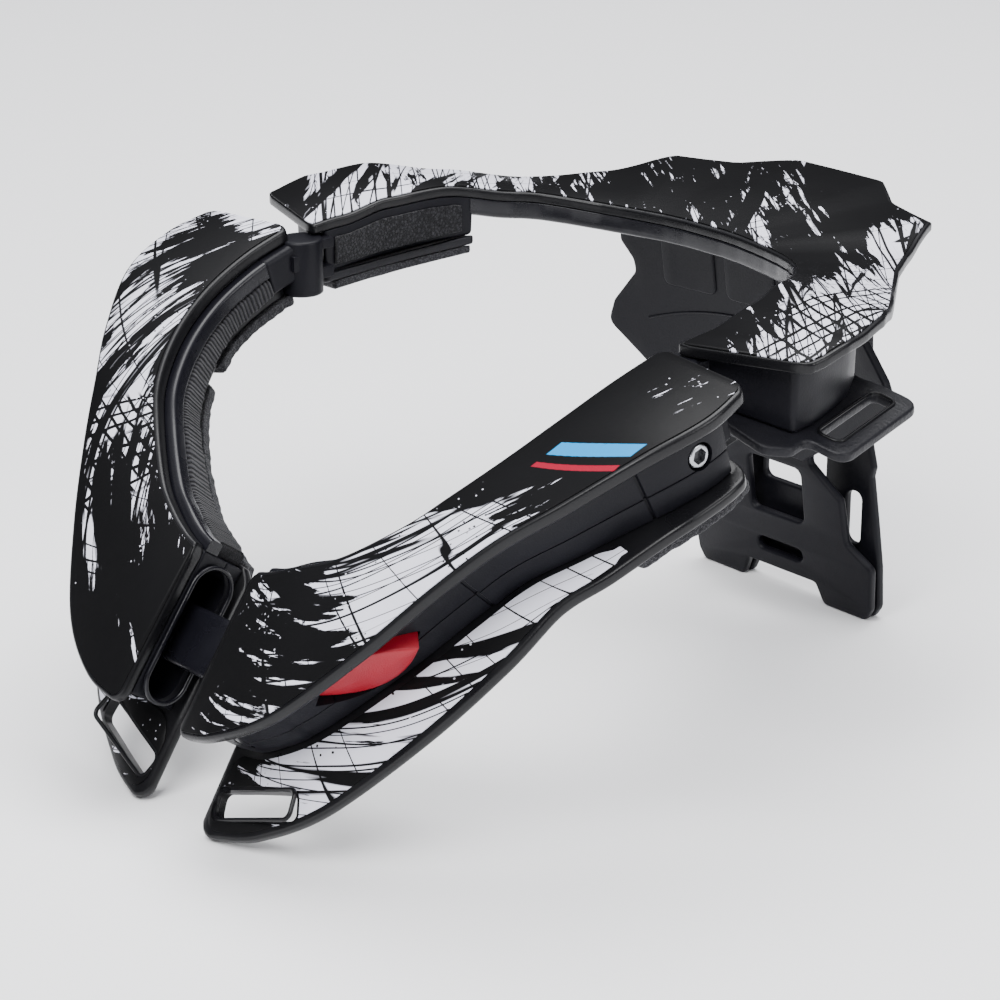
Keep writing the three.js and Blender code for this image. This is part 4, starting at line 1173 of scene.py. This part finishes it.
# The arch between the boxes, rounded towards the neck.
arch_frames = [rear_frame(t) for t in stations(0.001, 0.999, 1, 0.001, 220)]
arch_frames = [f for f in arch_frames if f.origin.y > BOX_REAR - 3]
ARCH_TOP, ARCH_DEPTH, ARCH_BAND = -REAR_DECK - 0.12, 6.4, 14.5


def arch_section(f):
    s0, s1 = 0.0, SHELL_INSET + ARCH_BAND
    low = ARCH_TOP - ARCH_DEPTH
    corners = [(s0, ARCH_TOP), (s1, ARCH_TOP), (s1, low), (s0, low)]
    return [(p.x, p.y) for p in fillet(corners, (0.4, 0.4, 0.8, 3.6), 6)]


on_rear(loft("arch", arch_frames, arch_section, glossy), "arch_plastic", "rear_arch")

# The back panel and the two plates of the back frame.
FLOOR = -SHIFT.z
FRAME_TOP, FOOT_OUT, FOOT_IN, LEAN = 60, 43, 20, math.radians(8.5)
FRAME_HEIGHT = -FRAME_TOP - FLOOR


def leaned(p):
    q = Vector((p.x, p.y, p.z - FLOOR))
    c, s = math.cos(LEAN), math.sin(LEAN)
    return Vector((q.x, q.y * c - q.z * s + 136, q.y * s + q.z * c + FLOOR))


def symmetric(points, radii):
    both = points + [(-x, z) for x, z in reversed(points)]
    return [(p.x, p.y) for p in fillet(both, radii + radii[::-1], 5)]


def window(x, lift, width, height):
    return [(px + x, py + FLOOR + lift) for px, py in round_rect(width, height, 3)]


panel_outline = [(0.86, 0.09), (0.87, 0.34), (0.80, 0.45), (0.79, 0.53), (0.95, 0.75), (1.00, 0.90),
                 (0.78, 1.12), (0.42, 1.38), (0.28, 1.50)]
frame_outline = [(0.42, 0.00), (0.42, 0.37), (0.74, 0.49), (0.77, 0.68), (1.04, 0.76), (1.00, 0.95),
                 (0.94, 1.00)]
rear_outline = [(0.80, 0.25), (0.87, 0.37), (0.85, 0.41), (0.92, 0.60), (0.98, 0.78), (1.00, 0.95),
                (0.93, 1.00)]


def bowed(p):
    y = -p.z + 3.7 / 2
    y = y - 3.7 - GAP - 7 * (p.x / 69) ** 2
    return leaned(Vector((p.x, y, p.y)))


points = symmetric([(x * 69, -z * 60) for x, z in panel_outline], [3, 3, 4, 4, 4, 5, 5, 4, 3])
slices = [(Vector((1, 0, 0)), [x * 4.6 for x in range(-15, 16)])]
on_rear(plate("panel", points, [], 3.7, 0.8, shell, bowed, cuts=slices), "shell_plastic",
        "back_panel")
for i, x in enumerate((-29, 0, 29)):
    block = [(px + x, py - 24) for px, py in round_rect(24, 20, 3)]
    piece = plate("panel_block_%d" % i, block, [], 1.2, 0.5, shell,
                  lambda p: bowed(Vector((p.x, p.y, p.z + 1.9))), cuts=slices)
    on_rear(piece, "shell_plastic")
arc = [bowed(Vector((x, -44 + 10 * (1 - (x / 52) ** 2) - 6, 1.75))) for x in range(-50, 51, 4)]
on_rear(tube("panel_arc", arc, 0.55, shell, False, False, 8), "shell_plastic")


def upright(y):
    return lambda p: leaned(Vector((p.x, -p.z + 3.5 / 2 + y, p.y)))


points = [(x * FOOT_OUT, -FRAME_TOP - z * FRAME_HEIGHT) for x, z in frame_outline]
points += [(FOOT_IN, FLOOR), (FOOT_IN - 3.5, FLOOR + 8)]
outer = symmetric(points, [1, 2, 3, 3, 4, 3, 3, 3, 2])
holes = [window(0, 42, 26, 22), window(0, 17, 22, 5)]
on_rear(plate("frame_front", outer, holes, 3.5, 1.1, shell, upright(0)), "shell_plastic",
        "back_frame_front")
top = height_at(139.9) - REAR_DECK - GAP
points = [(0.70 * FOOT_OUT, top)]
points += [(x * FOOT_OUT, -FRAME_TOP - z * FRAME_HEIGHT) for x, z in rear_outline]
points += [(FOOT_IN, FLOOR), (FOOT_IN - 3.5, FLOOR + 8)]
outer = symmetric(points, [1, 3, 2, 2, 4, 4, 4, 3, 3, 2])
holes = [window(-29, 36, 7, 20), window(29, 36, 7, 20), window(0, 70, 30, 60)]
on_rear(plate("frame_rear", outer, holes, 3.5, 1.1, shell,
              lambda p: Vector((p.x, -p.z + 1.75 + 139.9, p.y))), "shell_plastic",
        "back_frame_rear")

for side in ("left", "right"):
    pin = bpy.data.objects.get("hinge_pin_" + side)
    if pin:
        pin.data.materials.clear()
        pin.data.materials.append(steel)

# Floor, light and camera.
bpy.ops.mesh.primitive_plane_add(size=8, location=(0, 0, 0))
floor = bpy.context.object
floor.name = "floor"
n = Nodes("floor")
n.link(n.mix(n.noise(n.coords.outputs["Object"], 3, 2), colour(0.92, 0.92, 0.93),
             colour(0.94, 0.94, 0.95)), n.shader.inputs["Base Color"])
n.set(Roughness=0.7)
floor.data.materials.append(n.mat)

world = bpy.data.worlds.new("studio")
bpy.context.scene.world = world
world.use_nodes = True
sky = world.node_tree
direction = sky.nodes.new("ShaderNodeTexCoord")
split = sky.nodes.new("ShaderNodeSeparateXYZ")
sky.links.new(direction.outputs["Generated"], split.inputs[0])
fade = sky.nodes.new("ShaderNodeMapRange")
for i, value in enumerate((0.45, 0.90, 0.04, 1.5)):
    fade.inputs[i + 1].default_value = value
sky.links.new(split.outputs[2], fade.inputs[0])
sky.links.new(fade.outputs[0], sky.nodes["Background"].inputs[1])
sky.nodes["Background"].inputs[0].default_value = (0.93, 0.94, 1.0, 1)


def area(name, place, target, size, power):
    light = bpy.data.lights.new(name, "AREA")
    light.shape = "RECTANGLE"
    light.size, light.size_y = size
    light.energy = power
    obj = bpy.data.objects.new(name, light)
    obj.location = place
    obj.rotation_euler = (Vector(target) - Vector(place)).to_track_quat("-Z", "Y").to_euler()
    bpy.context.scene.collection.objects.link(obj)


area("key", (0.5, -1.2, 1.7), (0, 0, 0.08), (1.3, 1.3), 56)
area("top", (-0.3, 0.5, 2.0), (0, 0, 0.08), (1.5, 1.5), 52)
area("side", (1.7, 0.6, 0.9), (0, 0, 0.08), (0.8, 0.8), 16)

turn, tilt_down = math.radians(47.96), math.radians(21)
look = Vector((-math.sin(turn) * math.cos(tilt_down), math.cos(turn) * math.cos(tilt_down),
               -math.sin(tilt_down)))
lens_data = bpy.data.cameras.new("camera")
lens_data.sensor_width = 36
lens_data.lens = 36 * 3003.4 / 1000
lens_data.clip_start, lens_data.clip_end = 0.05, 50
camera = bpy.data.objects.new("camera", lens_data)
camera.location = (0.6936, (-630.65 + SHIFT.y) / 1000, (280.06 + SHIFT.z) / 1000)
camera.rotation_euler = look.to_track_quat("-Z", "Y").to_euler()
bpy.context.scene.collection.objects.link(camera)
bpy.context.scene.camera = camera
